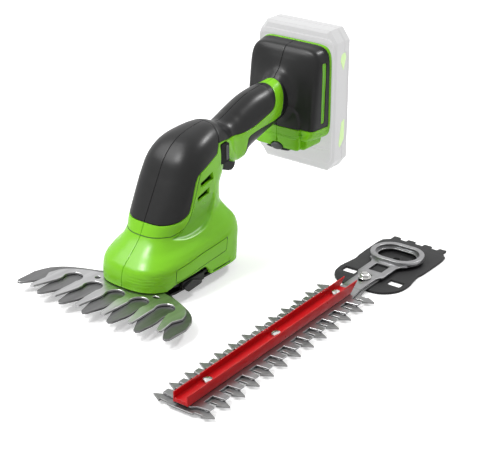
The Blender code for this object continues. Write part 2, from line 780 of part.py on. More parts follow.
def gear_outline(teeth, centre, turn=0.0):
    """A spur gear's outline with trapezoid teeth."""
    pitch_radius = GEAR_MODULE * teeth / 2
    outer, root = pitch_radius + 0.8 * GEAR_MODULE, pitch_radius - 1.1 * GEAR_MODULE
    outline = []
    for i in range(teeth):
        for radius, share in ((root, -0.30), (outer, -0.13), (outer, 0.13), (root, 0.30)):
            angle = turn + 2 * math.pi * (i + share) / teeth
            outline.append((centre[0] + radius * math.cos(angle), centre[1] + radius * math.sin(angle)))
    return outline


def release_spring_seat():
    """Half width at which the spring of a release button ends, drawn at its pressed length."""
    return RELEASE_FLANGE_FACE - RELEASE_FLANGE_DEPTH - RELEASE_TRAVEL - RELEASE_SPRING_LENGTH


def motor_axis_y():
    return DRIVE_AXIS_Y - GEAR_MODULE * (GEAR_TEETH + PINION_TEETH) / 2 - 0.0002


def build_drive(body_form):
    axis = (0.0, DRIVE_AXIS_Y)
    motor = (0.0, motor_axis_y())
    gear_top = GEAR_BOTTOM + GEAR_THICKNESS
    mount_top = MOUNT_BOTTOM + MOUNT_THICKNESS

    teeth = gear_outline(GEAR_TEETH, axis, math.pi / 2)
    gear = prism("drive_gear", teeth, "Z", GEAR_BOTTOM, gear_top, "steel")
    boolean(gear, cylinder("bore", axis, "Z", PIN_RADIUS + GAP, 0.0, 0.05))

    phase = -SHEAR_REST_TURN
    shift_x = (DRIVE_AXIS_Y - SHEAR_PIVOT_Y) * math.sin(phase)
    shift_y = math.sqrt(ECCENTRIC_THROW**2 - shift_x**2)
    disc_bottom = UPPER_BLADE_TOP + 2 * RUNNING_GAP
    disc = (axis[0] + shift_x, axis[1] + shift_y)
    eccentric = cylinder("eccentric", disc, "Z", ECCENTRIC_RADIUS, disc_bottom, 0.0185, "steel", 24)
    hub = cylinder("hub", axis, "Z", PIN_RADIUS + 0.003, 0.0175, GEAR_BOTTOM - GAP, "steel")
    boolean(eccentric, hub, "UNION")
    boolean(eccentric, cylinder("bore", axis, "Z", PIN_RADIUS + GAP, 0.0, 0.05))

    clip_top = disc_bottom - GAP
    clip_low = clip_top - CLIP_THICKNESS
    pin = cylinder("gear_pin", axis, "Z", PIN_RADIUS, clip_low - 0.0005, mount_top, "bright")
    clip = cylinder("gear_clip", axis, "Z", PIN_RADIUS + 0.0018, clip_low, clip_top, "bright")
    boolean(clip, cylinder("bore", axis, "Z", PIN_RADIUS + GAP, 0.0, 0.05))
    collar = cylinder("collar", axis, "Z", PIN_RADIUS + 0.0015, gear_top + GAP, MOUNT_BOTTOM - GAP, "bright")
    boolean(pin, collar, "UNION")

    area = rectangle(-BASE_HALF_WIDTH, -0.026, BASE_HALF_WIDTH, 0.044)
    mount = prism("motor_mount", area, "Z", MOUNT_BOTTOM, mount_top, "dark")
    boolean(mount, body_form.cavity("fit", GAP), "INTERSECT")
    boolean(mount, cylinder("pin_hole", axis, "Z", PIN_RADIUS + GAP, 0.0, 0.05))
    pinion_hole = GEAR_MODULE * PINION_TEETH / 2 + 0.002
    boolean(mount, cylinder("pinion_hole", motor, "Z", pinion_hole, 0.0, 0.05))

    can_low, can_top = mount_top + GAP, mount_top + GAP + MOTOR_LENGTH
    can = cylinder("motor_can", motor, "Z", MOTOR_RADIUS, can_low, can_top, "steel", 24)
    boolean(can, cylinder("bore", motor, "Z", 0.0022, 0.0, mount_top + MOTOR_LENGTH - 0.002))
    cap_low, cap_radius = can_top + GAP, MOTOR_RADIUS - 0.0012
    cap = cylinder("motor_cap", motor, "Z", cap_radius, cap_low, cap_low + MOTOR_CAP_LENGTH, "dark", 24)
    shaft_low, shaft_top = GEAR_BOTTOM - 0.001, can_top - 0.004
    shaft = cylinder("motor_shaft", motor, "Z", SHAFT_RADIUS, shaft_low, shaft_top, "bright", 12)
    teeth = gear_outline(PINION_TEETH, motor, math.pi / 2 + math.pi / PINION_TEETH)
    pinion = prism("pinion", teeth, "Z", GEAR_BOTTOM - 0.0005, gear_top + 0.0005)
    boolean(shaft, pinion, "UNION")

    plate = prism(
        "bottom_plate",
        rectangle(-BASE_HALF_WIDTH, BASE_FRONT - 0.003, BASE_HALF_WIDTH, BASE_REAR + 0.003),
        "Z",
        BOTTOM_PLATE_LOW,
        BOTTOM_PLATE_LOW + BOTTOM_PLATE_THICKNESS,
        "dark",
    )
    boolean(plate, body_form.cavity("fit", GAP), "INTERSECT")
    orbit = ECCENTRIC_RADIUS + ECCENTRIC_THROW + 0.001
    boolean(plate, cylinder("orbit", axis, "Z", orbit, 0.0, 0.05, count=32))
    boolean(plate, cylinder("pivot_hole", (0.0, SHEAR_PIVOT_Y), "Z", 0.0062, 0.0, 0.05))
    notch = RELEASE_FLANGE_FACE - RELEASE_FLANGE_DEPTH - RELEASE_TRAVEL - GAP
    for side in (-1, 1):
        low, high = sorted((side * notch, side * 0.05))
        around = rectangle(low, RELEASE_FRONT - GAP, high, RELEASE_REAR + GAP)
        boolean(plate, prism("notch", around, "Z", 0.0, 0.05))
        rib_outer = release_spring_seat() - GAP
        low, high = sorted((side * rib_outer, side * (rib_outer - 0.0020)))
        rib_base = BOTTOM_PLATE_LOW + BOTTOM_PLATE_THICKNESS / 2
        rib = rectangle(low, rib_base, high, RELEASE_FLANGE_TOP - 0.001)
        rib_front, rib_rear = RELEASE_SPRING_Y - 0.0035, RELEASE_SPRING_Y + 0.0035
        boolean(plate, prism("rib", rib, "Y", rib_front, rib_rear, "dark"), "UNION")

    carry(axis_empty("gear_axis", (*axis, GEAR_BOTTOM)), gear, eccentric)
    carry(axis_empty("motor_axis", (*motor, GEAR_BOTTOM)), shaft)
    for piece in (gear, eccentric, pin, clip, mount, can, cap, shaft, plate):
        smooth(piece)


# Springs and controls


def spring(name, start, end, turns, radius=SPRING_RADIUS, wire=SPRING_WIRE):
    """A compression spring from start to end, as one closed tube along a helix."""
    start, end = Vector(start), Vector(end)
    axis = (end - start).normalized()
    side = axis.orthogonal().normalized()
    other = axis.cross(side)
    steps = turns * SPRING_STEPS
    length = (end - start).length - 2 * wire
    sections = []
    for i in range(steps + 1):
        angle = 2 * math.pi * i / SPRING_STEPS
        outwards = side * math.cos(angle) + other * math.sin(angle)
        centre = start + axis * (wire + length * i / steps) + outwards * radius
        corners = ((wire, 0), (0, wire), (-wire, 0), (0, -wire))
        sections.append([centre + outwards * u + axis * v for u, v in corners])
    return loft(name, np.array(sections), "bright")


def build_controls():
    wide = TRIGGER_HALF_WIDTH
    profile = [
        (0.0515, 0.0860),
        (0.0515, 0.0765),
        (0.0535, 0.0742),
        (0.0580, 0.0726),
        (0.0620, 0.0708),
        (0.0662, 0.0701),
        (0.0695, 0.0717),
        (0.0707, 0.0745),
        (0.0702, 0.0785),
        (0.0640, 0.0800),
        (0.0590, 0.0840),
        (0.0605, 0.0870),
    ]
    trigger = prism("trigger", profile, "X", -wide, wide, "dark")
    smooth(trigger)
    carry(axis_empty("trigger_axis", TRIGGER_AXIS), trigger)
    spring(
        "trigger_spring",
        (0.0, TRIGGER_SPRING_Y, TRIGGER_SPRING_LOW),
        (0.0, TRIGGER_SPRING_Y, TRIGGER_SPRING_HIGH),
        4,
    )
    prism("switch", rectangle(0.0625, 0.0890, 0.0785, 0.0990), "X", -0.0045, 0.0045, "dark")

    outline = rectangle(LOCK_FRONT, LOCK_BOTTOM, LOCK_REAR, LOCK_TOP, 0.002)
    lock = prism("lock_off_button", outline, "X", LOCK_INNER, LOCK_FACE, "dark")
    smooth(lock)
    middle = ((LOCK_FRONT + LOCK_REAR) / 2, (LOCK_BOTTOM + LOCK_TOP) / 2)
    carry(axis_empty("lock_axis", (LOCK_FACE, *middle)), lock)
    pressed = LOCK_INNER - LOCK_TRAVEL - GAP
    place = (LOCK_SPRING_Y, LOCK_SPRING_Z)
    spring("lock_off_spring", (0.0, *place), (pressed, *place), 4)
    for side, word in ((-1, "left"), (1, "right")):
        build_release(side, word)


def build_release(side, word):
    """A button in the wall's cut-out, held behind the wall by its flange, and the spring behind that."""
    face = BASE_HALF_WIDTH - 0.0004
    low, high = sorted((side * (face - RELEASE_DEPTH), side * face))
    outline = rectangle(RELEASE_FRONT, RELEASE_BOTTOM, RELEASE_REAR, RELEASE_TOP, 0.002)
    button = prism(f"head_release_{word}", outline, "X", low, high, "dark")
    flange_inner = RELEASE_FLANGE_FACE - RELEASE_FLANGE_DEPTH
    low, high = sorted((side * flange_inner, side * RELEASE_FLANGE_FACE))
    outline = rectangle(RELEASE_FLANGE_FRONT, RELEASE_TOP - 0.002, RELEASE_FLANGE_REAR, RELEASE_FLANGE_TOP)
    boolean(button, prism("flange", outline, "X", low, high, "dark"), "UNION")
    smooth(button)
    middle = ((RELEASE_FRONT + RELEASE_REAR) / 2, (RELEASE_BOTTOM + RELEASE_TOP) / 2)
    carry(axis_empty(f"release_axis_{word}", (side * face, *middle)), button)
    seat = release_spring_seat()
    place = (RELEASE_SPRING_Y, RELEASE_SPRING_Z)
    pressed = side * (seat + RELEASE_SPRING_LENGTH - GAP)
    spring(f"release_spring_{word}", (side * seat, *place), (pressed, *place), 3)


def build_electronics():
    """The terminals that the pack's tongue meets, and the board that they stand on."""
    block_high = PACK_FRONT - TONGUE_LENGTH - GAP
    block_low = block_high - TERMINAL_DEPTH
    board_high = block_low - GAP
    width, low, high = TONGUE_HALF_WIDTH - 0.004, TONGUE_BOTTOM - 0.004, TONGUE_TOP + 0.002
    board_low = board_high - BOARD_THICKNESS
    prism("control_board", rectangle(-width, low, width, high), "Y", board_low, board_high, "board")
    width, low, high = TONGUE_HALF_WIDTH - 0.009, TONGUE_BOTTOM + 0.006, TONGUE_TOP - 0.006
    prism("terminal_block", rectangle(-width, low, width, high, 0.002), "Y", block_low, block_high, "dark")


# Shear head


def tip_y(x, reach):
    """Height of the bow through the tooth tips, reach in front of the lower blade's middle tip."""
    return SHEAR_TIP_Y + reach + SHEAR_TIP_BOW - math.sqrt(SHEAR_TIP_BOW**2 - x**2)


def tooth_points(x, reach, tip_half, belly_half, belly_back):
    """Left belly, blunt tip and right belly of one tooth that leans away from the middle."""
    lean = math.atan(x / SHEAR_FAN_RADIUS)
    back = np.array([-math.sin(lean), math.cos(lean)])
    right = np.array([math.cos(lean), math.sin(lean)])
    tip = np.array([x, tip_y(x, reach)])
    shape = [
        (-belly_half, belly_back),
        (-belly_half * 0.93, belly_back * 0.72),
        (-tip_half, 0.0018),
        (0.0, 0.0),
        (tip_half, 0.0018),
        (belly_half * 0.93, belly_back * 0.72),
        (belly_half, belly_back),
    ]
    return [tuple(tip + right * u + back * v) for u, v in shape]


def gullet_points(x, reach):
    """The round root between two teeth, from its left end over the back to its right end."""
    centre = (x * 0.905, tip_y(x, reach) + 0.0290 + 0.4 * x * x)
    return arc(centre, GULLET_RADIUS, 232, -52, 7)


def comb_front(teeth, reach, tip_half, belly_half, belly_back):
    """The toothed edge of a fan blade, from the left outer tooth to the right one."""
    outline = []
    for i in range(teeth):
        x = (i - (teeth - 1) / 2) * SHEAR_PITCH
        outline += tooth_points(x, reach, tip_half, belly_half, belly_back)
        if i < teeth - 1:
            outline += gullet_points(x + SHEAR_PITCH / 2, reach)
    return outline


def build_shear_head():
    lower_low = LOWER_BLADE_TOP - BLADE_THICKNESS
    upper_low = UPPER_BLADE_TOP - BLADE_THICKNESS
    pivot = (0.0, SHEAR_PIVOT_Y)

    front = comb_front(SHEAR_TEETH, 0.0, 0.0032, 0.0070, 0.0215)
    back = [
        (0.0752, -0.0690),
        (0.0715, -0.0590),
        (0.0665, -0.0525),
        (0.0590, -0.0470),
        (0.0480, -0.0420),
        (0.0350, -0.0370),
        (0.0260, -0.0310),
        (0.0240, -0.0220),
        (0.0240, 0.0000),
        (0.0120, 0.0060),
    ]
    outline = front[1:-1] + back + [(-x, y) for x, y in reversed(back)]
    lower = prism("shear_lower_blade", outline, "Z", lower_low, LOWER_BLADE_TOP, "steel")
    boolean(lower, cylinder("hole", pivot, "Z", 0.0043, 0.0, 0.03))

    front = comb_front(SHEAR_TEETH - 1, 0.0028, 0.0024, 0.0058, 0.0205)
    ring_half = ECCENTRIC_RADIUS + RUNNING_GAP + YOKE_WALL
    half = [
        (0.0640, -0.0640),
        (0.0600, -0.0550),
        (0.0530, -0.0490),
        (0.0420, -0.0440),
        (0.0280, -0.0400),
        (0.0180, -0.0320),
        (0.0150, -0.0200),
        (0.0110, -0.0080),
        (0.0125, -0.0020),
        (ring_half, DRIVE_AXIS_Y - ECCENTRIC_THROW),
        *arc((0.0, DRIVE_AXIS_Y + ECCENTRIC_THROW), ring_half, 0, 75, 5),
    ]
    rear = [(0.0, DRIVE_AXIS_Y + ECCENTRIC_THROW + ring_half)]
    outline = front[1:-1] + half + rear + [(-x, y) for x, y in reversed(half)]
    upper = prism("shear_upper_blade", outline, "Z", upper_low, UPPER_BLADE_TOP, "steel")
    window = arc((0.0, DRIVE_AXIS_Y + ECCENTRIC_THROW), ring_half - YOKE_WALL, 0, 180, 12)
    window += arc((0.0, DRIVE_AXIS_Y - ECCENTRIC_THROW), ring_half - YOKE_WALL, 180, 360, 12)
    boolean(upper, prism("loop_hole", window, "Z", 0.0, 0.03))
    boolean(upper, cylinder("hole", pivot, "Z", 0.0043, 0.0, 0.03))
    for x in (-0.028, 0.028):
        boolean(upper, cylinder("hole", (x, -0.0495), "Z", 0.0019, 0.0, 0.03, count=10))
    turn = Matrix.Translation((0, SHEAR_PIVOT_Y, 0)) @ Matrix.Rotation(SHEAR_REST_TURN, 4, "Z")
    upper.data.transform(turn @ Matrix.Translation((0, -SHEAR_PIVOT_Y, 0)))
    carry(axis_empty("shear_axis", (*pivot, UPPER_BLADE_TOP)), upper)

    build_carrier()
    bolt = cylinder("shear_pivot_bolt", pivot, "Z", 0.0040, 0.0015, UPPER_BLADE_TOP + GAP + 0.0001, "bright")
    head = cylinder("head", pivot, "Z", 0.0058, UPPER_BLADE_TOP + GAP, UPPER_BLADE_TOP + 0.0024, "bright")
    boolean(bolt, head, "UNION")
    nut = prism("shear_pivot_nut", circle(pivot, 0.0075, 6), "Z", 0.0020, CARRIER_BOTTOM - GAP, "bright")
    boolean(nut, cylinder("bore", pivot, "Z", 0.0040 + GAP, 0.0, 0.01))
    for piece in (lower, upper, bolt):
        smooth(piece, 25)


def carrier_half_outline(last_y):
    """Right half of a head's base plate, from its front lobe back to its tabs, which end at last_y."""
    return [
        (0.0000, last_y - 0.0960),
        (0.0150, last_y - 0.0950),
        (0.0225, last_y - 0.0910),
        (0.0280, last_y - 0.0840),
        (0.0300, last_y - 0.0760),
        (0.0300, last_y - 0.0690),
        (0.0288, last_y - 0.0610),
        (0.0280, last_y - 0.0530),
        (0.0290, last_y - 0.0450),
        (0.0295, last_y - 0.0200),
        (0.0285, last_y - 0.0110),
        (0.0238, last_y - 0.0065),
        (0.0238, last_y),
        (0.0178, last_y),
        (0.0170, last_y - 0.0035),
        (0.0112, last_y - 0.0035),
        (0.0108, last_y),
        (0.0042, last_y),
        (0.0036, last_y - 0.0035),
        (0.0000, last_y - 0.0035),
    ]


def plate_windows(plate, last_y):
    for side in (-1, 1):
        low, high = sorted((side * 0.0153, side * 0.0248))
        window = rectangle(low, last_y - 0.0780, high, last_y - 0.0705)
        boolean(plate, prism("window", window, "Z", -0.001, 0.02))


def build_carrier():
    last_y = BASE_REAR - 0.0045
    outline = mirrored(carrier_half_outline(last_y))
    carrier = prism("shear_carrier", outline, "Z", CARRIER_BOTTOM, CARRIER_BOTTOM + CARRIER_THICKNESS, "dark")
    plate_windows(carrier, last_y)
    foot = prism(
        "foot",
        rectangle(-FOOT_HALF_WIDTH, -FOOT_HALF_LENGTH, FOOT_HALF_WIDTH, FOOT_HALF_LENGTH, 0.008, 4),
        "Z",
        0.0,
        CARRIER_BOTTOM + 0.0005,
        "dark",
    )
    boolean(carrier, foot, "UNION")
    pivot = (0.0, SHEAR_PIVOT_Y)
    boolean(carrier, cylinder("nut_recess", pivot, "Z", 0.0082, -0.001, CARRIER_BOTTOM))
    boolean(carrier, cylinder("hole", pivot, "Z", 0.0043, 0.0, 0.03))
    smooth(carrier)


# Hedge head


def hedge_tooth(along, side):
    """Arrow-head tooth of the fixed blade, in the order of the blade's outline."""
    shape = [
        (HEDGE_SPINE, -HEDGE_NECK),
        (HEDGE_BARB, -HEDGE_NECK),
        (HEDGE_BARB, -HEDGE_BARB_SPREAD),
        (HEDGE_TIP, 0.0),
        (HEDGE_BARB, HEDGE_BARB_SPREAD),
        (HEDGE_BARB, HEDGE_NECK),
        (HEDGE_SPINE, HEDGE_NECK),
    ]
    return [(side * x, along + y) for x, y in shape]


def moving_tooth(along, side):
    shape = [(MOVING_ROOT, -0.0034), (MOVING_TIP, -0.0026), (MOVING_TIP, 0.0026), (MOVING_ROOT, 0.0034)]
    return [(side * x, along + y) for x, y in shape]


def comb(tooth, teeth, offset):
    """Right side front to back, then the left side back to front."""
    outline = []
    for i in range(teeth):
        outline += tooth(i * HEDGE_PITCH + offset, 1)
    rear = len(outline)
    for i in reversed(range(teeth)):
        outline += reversed(tooth(i * HEDGE_PITCH + offset, -1))
    return outline[:rear], outline[rear:]


def slot(along, half_width, half_length):
    return [
        *arc((0.0, along + half_length), half_width, 0, 180, 5),
        *arc((0.0, along - half_length), half_width, 180, 360, 5),
    ]


def build_hedge_head():
    frame = axis_empty("hedge_frame", (HEDGE_X, HEDGE_Y, 0))
    frame.rotation_euler = (0, 0, HEDGE_TURN)
    stroke = ECCENTRIC_THROW
    blade_low = PLATE_THICKNESS + GAP
    blade_top = blade_low + HEDGE_BLADE_THICKNESS
    moving_low = blade_top + GAP
    moving_top = moving_low + HEDGE_BLADE_THICKNESS
    channel_low = moving_top + GAP
    floor_top = channel_low + CHANNEL_SHEET
    pieces = []

    outline = mirrored(carrier_half_outline(HEDGE_PLATE_END))
    plate = prism("hedge_base_plate", outline, "Z", 0.0, PLATE_THICKNESS, "dark")
    plate_windows(plate, HEDGE_PLATE_END)
    guide = (0.0, GUIDE_BOLT_Y)
    boolean(plate, cylinder("hole", (0.0, YOKE_CENTRE - 0.001), "Z", 0.0028, -0.01, 0.02))
    boolean(plate, cylinder("hole", guide, "Z", GUIDE_BOLT_RADIUS + GAP, -0.01, 0.02))
    pieces.append(plate)

    right, left = comb(hedge_tooth, HEDGE_TEETH, 0.0)
    nose = [(-0.0085, -HEDGE_NOSE), (0.0085, -HEDGE_NOSE)]
    right_tail = [(0.0090, CHANNEL_END + 0.006), (0.0090, FIXED_BLADE_END)]
    tail = right_tail + [(-x, y) for x, y in reversed(right_tail)]
    lower = prism("hedge_lower_blade", nose + right + tail + left, "Z", blade_low, blade_top, "steel")
    right, left = comb(moving_tooth, HEDGE_TEETH - 1, MOVING_OFFSET)
    nose = [(-0.0070, MOVING_OFFSET - 0.0060), (0.0070, MOVING_OFFSET - 0.0060)]
    tail = [(0.0078, MOVING_BLADE_END), (-0.0078, MOVING_BLADE_END)]
    moving = prism("hedge_moving_blade", nose + right + tail + left, "Z", moving_low, moving_top, "steel")

    channel = prism(
        "hedge_channel",
        [
            (-CHANNEL_HALF_WIDTH, channel_low),
            (CHANNEL_HALF_WIDTH, channel_low),
            (CHANNEL_HALF_WIDTH, channel_low + CHANNEL_HEIGHT),
            (CHANNEL_HALF_WIDTH - CHANNEL_SHEET, channel_low + CHANNEL_HEIGHT),
            (CHANNEL_HALF_WIDTH - CHANNEL_SHEET, floor_top),
            (-CHANNEL_HALF_WIDTH + CHANNEL_SHEET, floor_top),
            (-CHANNEL_HALF_WIDTH + CHANNEL_SHEET, channel_low + CHANNEL_HEIGHT),
            (-CHANNEL_HALF_WIDTH, channel_low + CHANNEL_HEIGHT),
        ],
        "Y",
        CHANNEL_START,
        CHANNEL_END,
        "red",
    )
    end_cut = [
        (CHANNEL_END - 0.009, floor_top + 0.0004),
        (CHANNEL_END + 0.001, floor_top + 0.0004),
        (CHANNEL_END + 0.001, channel_low + CHANNEL_HEIGHT - 0.0002),
    ]
    boolean(channel, prism("oblique", end_cut, "X", -0.01, 0.01))

    for i, along in enumerate(SCREW_PLACES):
        place = (0.0, along)
        slit = slot(along, CHANNEL_SCREW_RADIUS + RUNNING_GAP, stroke + RUNNING_GAP)
        boolean(moving, prism("slot", slit, "Z", -0.01, 0.02))
        for piece in (lower, channel):
            boolean(piece, cylinder("hole", place, "Z", CHANNEL_SCREW_RADIUS + GAP, -0.01, 0.02, count=10))
        low, high = blade_low - 0.0010, floor_top + 0.0010
        screw = cylinder(f"hedge_screw_{i + 1}", place, "Z", CHANNEL_SCREW_RADIUS, low, high, "bright", 10)
        head_low = floor_top + GAP
        head = cylinder("head", place, "Z", CHANNEL_SCREW_RADIUS * 1.8, head_low, head_low + 0.0024, "bright")
        boolean(screw, head, "UNION")
        pieces.append(screw)

    outline = rectangle(-0.0105, FIXED_BLADE_END + GAP, 0.0105, YOKE_SHOULDER, 0.002)
    spacer = prism("hedge_spacer", outline, "Z", blade_low, blade_top, "dark")
    pieces += [lower, moving, channel, spacer, build_yoke(moving_low, moving_top)]

    boolean(lower, cylinder("hole", guide, "Z", GUIDE_BOLT_RADIUS + GAP, -0.01, 0.02))
    bolt = cylinder("hedge_guide_bolt", guide, "Z", GUIDE_BOLT_RADIUS, 0.0002, moving_top + 0.0006, "bright")
    washer_low = moving_top + GAP
    washer = cylinder("washer", guide, "Z", 0.0048, washer_low, washer_low + 0.0008, "bright")
    boolean(bolt, washer, "UNION")
    head = prism("head", circle(guide, 0.0041, 6), "Z", washer_low + 0.0006, washer_low + 0.0034, "bright")
    boolean(bolt, head, "UNION")
    pieces.append(bolt)
    for piece in pieces:
        smooth(piece, 30)
        piece.parent = frame


def build_yoke(low, top):
    """Oblong ring round the eccentric, its two arms and the tongue that meets the moving blade."""
    half = [
        (0.0078, MOVING_BLADE_END + GAP),
        (0.0080, FIXED_BLADE_END - 0.004),
        (0.0113, FIXED_BLADE_END),
        (0.0113, YOKE_SHOULDER),
        (0.0113, YOKE_CENTRE - 0.0100),
    ]
    yoke = prism("hedge_yoke", half + [(-x, y) for x, y in reversed(half)], "Z", low, top, "steel")
    reach = YOKE_HALF_ACROSS - YOKE_HALF_ALONG
    oblong = [
        *arc((reach, YOKE_CENTRE), YOKE_HALF_ALONG, -90, 90, 10),
        *arc((-reach, YOKE_CENTRE), YOKE_HALF_ALONG, 90, 270, 10),
    ]
    boolean(yoke, prism("ring", oblong, "Z", low, low + YOKE_HEIGHT, "steel"), "UNION")
    inner = grow(oblong, -YOKE_WALL)
    lip = grow(oblong, -YOKE_WALL - 0.002)
    boolean(yoke, prism("bore", inner, "Z", low + 0.0012, 0.02))
    boolean(yoke, prism("bore", lip, "Z", 0.0, 0.02))
    window = rectangle(-0.0058, FIXED_BLADE_END + 0.007, 0.0058, YOKE_SHOULDER - 0.003, 0.001)
    boolean(yoke, prism("window", window, "Z", 0.0, 0.02))
    slit = slot(GUIDE_BOLT_Y, GUIDE_BOLT_RADIUS + RUNNING_GAP, ECCENTRIC_THROW + RUNNING_GAP)
    boolean(yoke, prism("slot", slit, "Z", 0.0, 0.02))
    return yoke


clear_scene()
MATERIALS = make_materials()
BODY = Form(body_stations(), range(8, 12), (0, 0, -0.012), (0.0, 0.012, 0.0008))
HOLDER = Form(holder_stations(), (), (0.0, -0.006, -0.001), (0, 0.010, 0))
build_housing(BODY, HOLDER)
build_housing_screws()
build_covers(BODY, HOLDER)
build_battery()
build_drive(BODY)
build_controls()
build_electronics()
build_shear_head()
build_hedge_head()
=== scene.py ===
"""Looks of the cordless garden shear and its hedge-trimming head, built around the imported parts.

Metres, +Z up; +Y runs from the blades back to the battery and +X to the right of whoever holds the tool.
The moulded shells are lofted through nearly the same cross-sections as the parts, only finer, and then cut
along side-view outlines, so that every seam, groove and opening is real geometry.
"""

import math
from typing import NamedTuple

import bmesh
import bpy
import numpy as np
from mathutils import Matrix, Vector


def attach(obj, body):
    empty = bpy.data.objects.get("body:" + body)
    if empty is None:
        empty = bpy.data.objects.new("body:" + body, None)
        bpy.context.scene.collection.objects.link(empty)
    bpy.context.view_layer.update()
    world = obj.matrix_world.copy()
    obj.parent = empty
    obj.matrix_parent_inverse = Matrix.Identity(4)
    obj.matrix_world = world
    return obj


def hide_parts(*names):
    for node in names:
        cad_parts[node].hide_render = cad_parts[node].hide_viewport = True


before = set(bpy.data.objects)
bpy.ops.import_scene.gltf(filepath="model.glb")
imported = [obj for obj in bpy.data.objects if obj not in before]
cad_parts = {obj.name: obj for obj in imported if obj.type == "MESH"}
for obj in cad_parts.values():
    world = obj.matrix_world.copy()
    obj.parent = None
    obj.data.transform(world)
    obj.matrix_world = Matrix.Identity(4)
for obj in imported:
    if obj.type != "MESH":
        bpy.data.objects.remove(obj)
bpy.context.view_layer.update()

# Housing, as in the parts
BASE_HALF_WIDTH = 0.035
BASE_FRONT = -0.053
BASE_REAR = 0.053
BASE_BOTTOM_FRONT = 0.013
BASE_BOTTOM_REAR = 0.0088
SHOULDER_HALF_WIDTH = 0.0285
TOWER_HALF_WIDTH = 0.025
BEND_HALF_WIDTH = 0.0205
HANDLE_HALF_WIDTH = 0.016
HANDLE_END_HALF_WIDTH = 0.013
HANDLE_FRONT = 0.060
HANDLE_LENGTH = 0.072
HANDLE_END = HANDLE_FRONT + HANDLE_LENGTH
HOLDER_HALF_WIDTH = 0.035
HOLDER_RIM = 0.1634
HOLDER_TOP = 0.1512
HOLDER_BOTTOM = 0.0725
HOLDER_BORDER = 0.0845
RIM_THICKNESS = 0.0025
SHELL_THICKNESS = 0.0023
COVER_THICKNESS = 0.0016
SEAM_HALF_GAP = 0.00012

# Mesh density
RING_POINTS = 168
ROWS_PER_STATION = 9
HOLDER_RING_POINTS = 260
HOLDER_ROWS_PER_STATION = 14

# Photograph's viewpoint
LENS_MM = 94.94
SENSOR_MM = 36.0
CAMERA_PLACE = (0.6021, -0.6803, 0.4539)
CAMERA_PITCH = math.radians(24.33)
CAMERA_HEADING = (-0.610, 0.792)


class Station(NamedTuple):
    """One cross-section of the housing, in the plane through its front and rear points and the X axis."""

    front_y: float
    front_z: float
    rear_y: float
    rear_z: float
    half_width: float
    front_curve: float
    rear_curve: float
    taper: float


def body_stations():
    base, shoulder, tower = BASE_HALF_WIDTH, SHOULDER_HALF_WIDTH, TOWER_HALF_WIDTH
    bend, handle, end = BEND_HALF_WIDTH, HANDLE_HALF_WIDTH, HANDLE_END_HALF_WIDTH
    front, rear = BASE_FRONT, BASE_REAR
    return [
        Station(front, BASE_BOTTOM_FRONT, rear - 0.001, BASE_BOTTOM_REAR, base, 3.0, 5.0, 0.02),
        Station(front, 0.020, rear, 0.022, base, 3.0, 5.0, 0.02),
        Station(front + 0.002, 0.027, rear + 0.001, 0.034, base - 0.0003, 3.0, 5.0, 0.02),
        Station(front + 0.006, 0.0315, rear, 0.0424, base - 0.0022, 2.8, 4.5, 0.0),
        Station(front + 0.013, 0.0375, rear - 0.003, 0.0482, shoulder, 2.7, 4.0, 0.0),
        Station(-0.0320, 0.0455, 0.0470, 0.0550, tower, 2.7, 3.5, 0.08),
        Station(-0.0270, 0.0550, 0.0460, 0.0600, tower, 2.9, 3.2, 0.10),
        Station(-0.0176, 0.0720, 0.0470, 0.0710, tower, 3.0, 3.0, 0.12),
        Station(-0.0100, 0.0857, 0.0500, 0.0770, tower, 3.0, 3.0, 0.14),
        Station(-0.0020, 0.0994, 0.0530, 0.0810, tower - 0.001, 3.0, 2.6, 0.12),
        Station(0.0110, 0.1095, 0.0560, 0.0820, bend + 0.002, 2.8, 2.5, 0.10),
        Station(0.0290, 0.1142, 0.0590, 0.0810, bend, 2.6, 3.0, 0.05),
        Station(0.0460, 0.1150, 0.0620, 0.0790, bend - 0.002, 2.4, 4.2, 0.0),
        Station(0.0600, 0.1105, 0.0660, 0.0770, handle, 2.2, 4.5, 0.0),
        Station(0.0710, 0.1135, 0.0770, 0.0765, handle, 2.2, 3.6, 0.0),
        Station(0.0796, 0.1170, 0.0850, 0.0785, handle, 2.2, 2.2, 0.0),
        Station(0.0950, 0.1220, 0.1020, 0.0845, handle, 2.2, 2.2, 0.0),
        Station(0.1100, 0.1243, 0.1160, 0.0885, handle, 2.2, 2.2, 0.0),
        Station(0.1240, 0.1252, 0.1290, 0.0910, end + 0.001, 2.2, 2.2, 0.0),
        Station(HANDLE_END, 0.1262, HANDLE_END + 0.005, 0.0925, end, 2.2, 2.2, 0.0),
    ]


def holder_stations():
    wide, rim, top, bottom = HOLDER_HALF_WIDTH, HOLDER_RIM, HOLDER_TOP, HOLDER_BOTTOM
    return [
        Station(rim - 0.0334, 0.1235, rim - 0.0284, 0.0945, 0.0112, 2.2, 2.2, 0.0),
        Station(rim - 0.0289, 0.1280, rim - 0.0259, 0.0895, 0.0145, 2.2, 2.2, 0.0),
        Station(rim - 0.0239, 0.1330, rim - 0.0249, 0.0855, 0.0180, 2.3, 2.4, 0.0),
        Station(rim - 0.0199, top - 0.0100, rim - 0.0244, bottom + 0.0060, 0.0265, 3.6, 4.0, 0.0),
        Station(rim - 0.0170, top - 0.0046, rim - 0.0244, bottom + 0.0026, 0.0318, 5.2, 5.6, 0.0),
        Station(rim - 0.0138, top - 0.0018, rim - 0.0219, bottom + 0.0008, wide - 0.0012, 6.4, 6.4, 0.0),
        Station(rim - 0.0074, top - 0.0010, rim - 0.0134, bottom, wide - 0.0005, 7.0, 7.0, 0.0),
        Station(rim, top, rim, bottom, wide, 8.0, 8.0, 0.0),
    ]


# Lofted skins


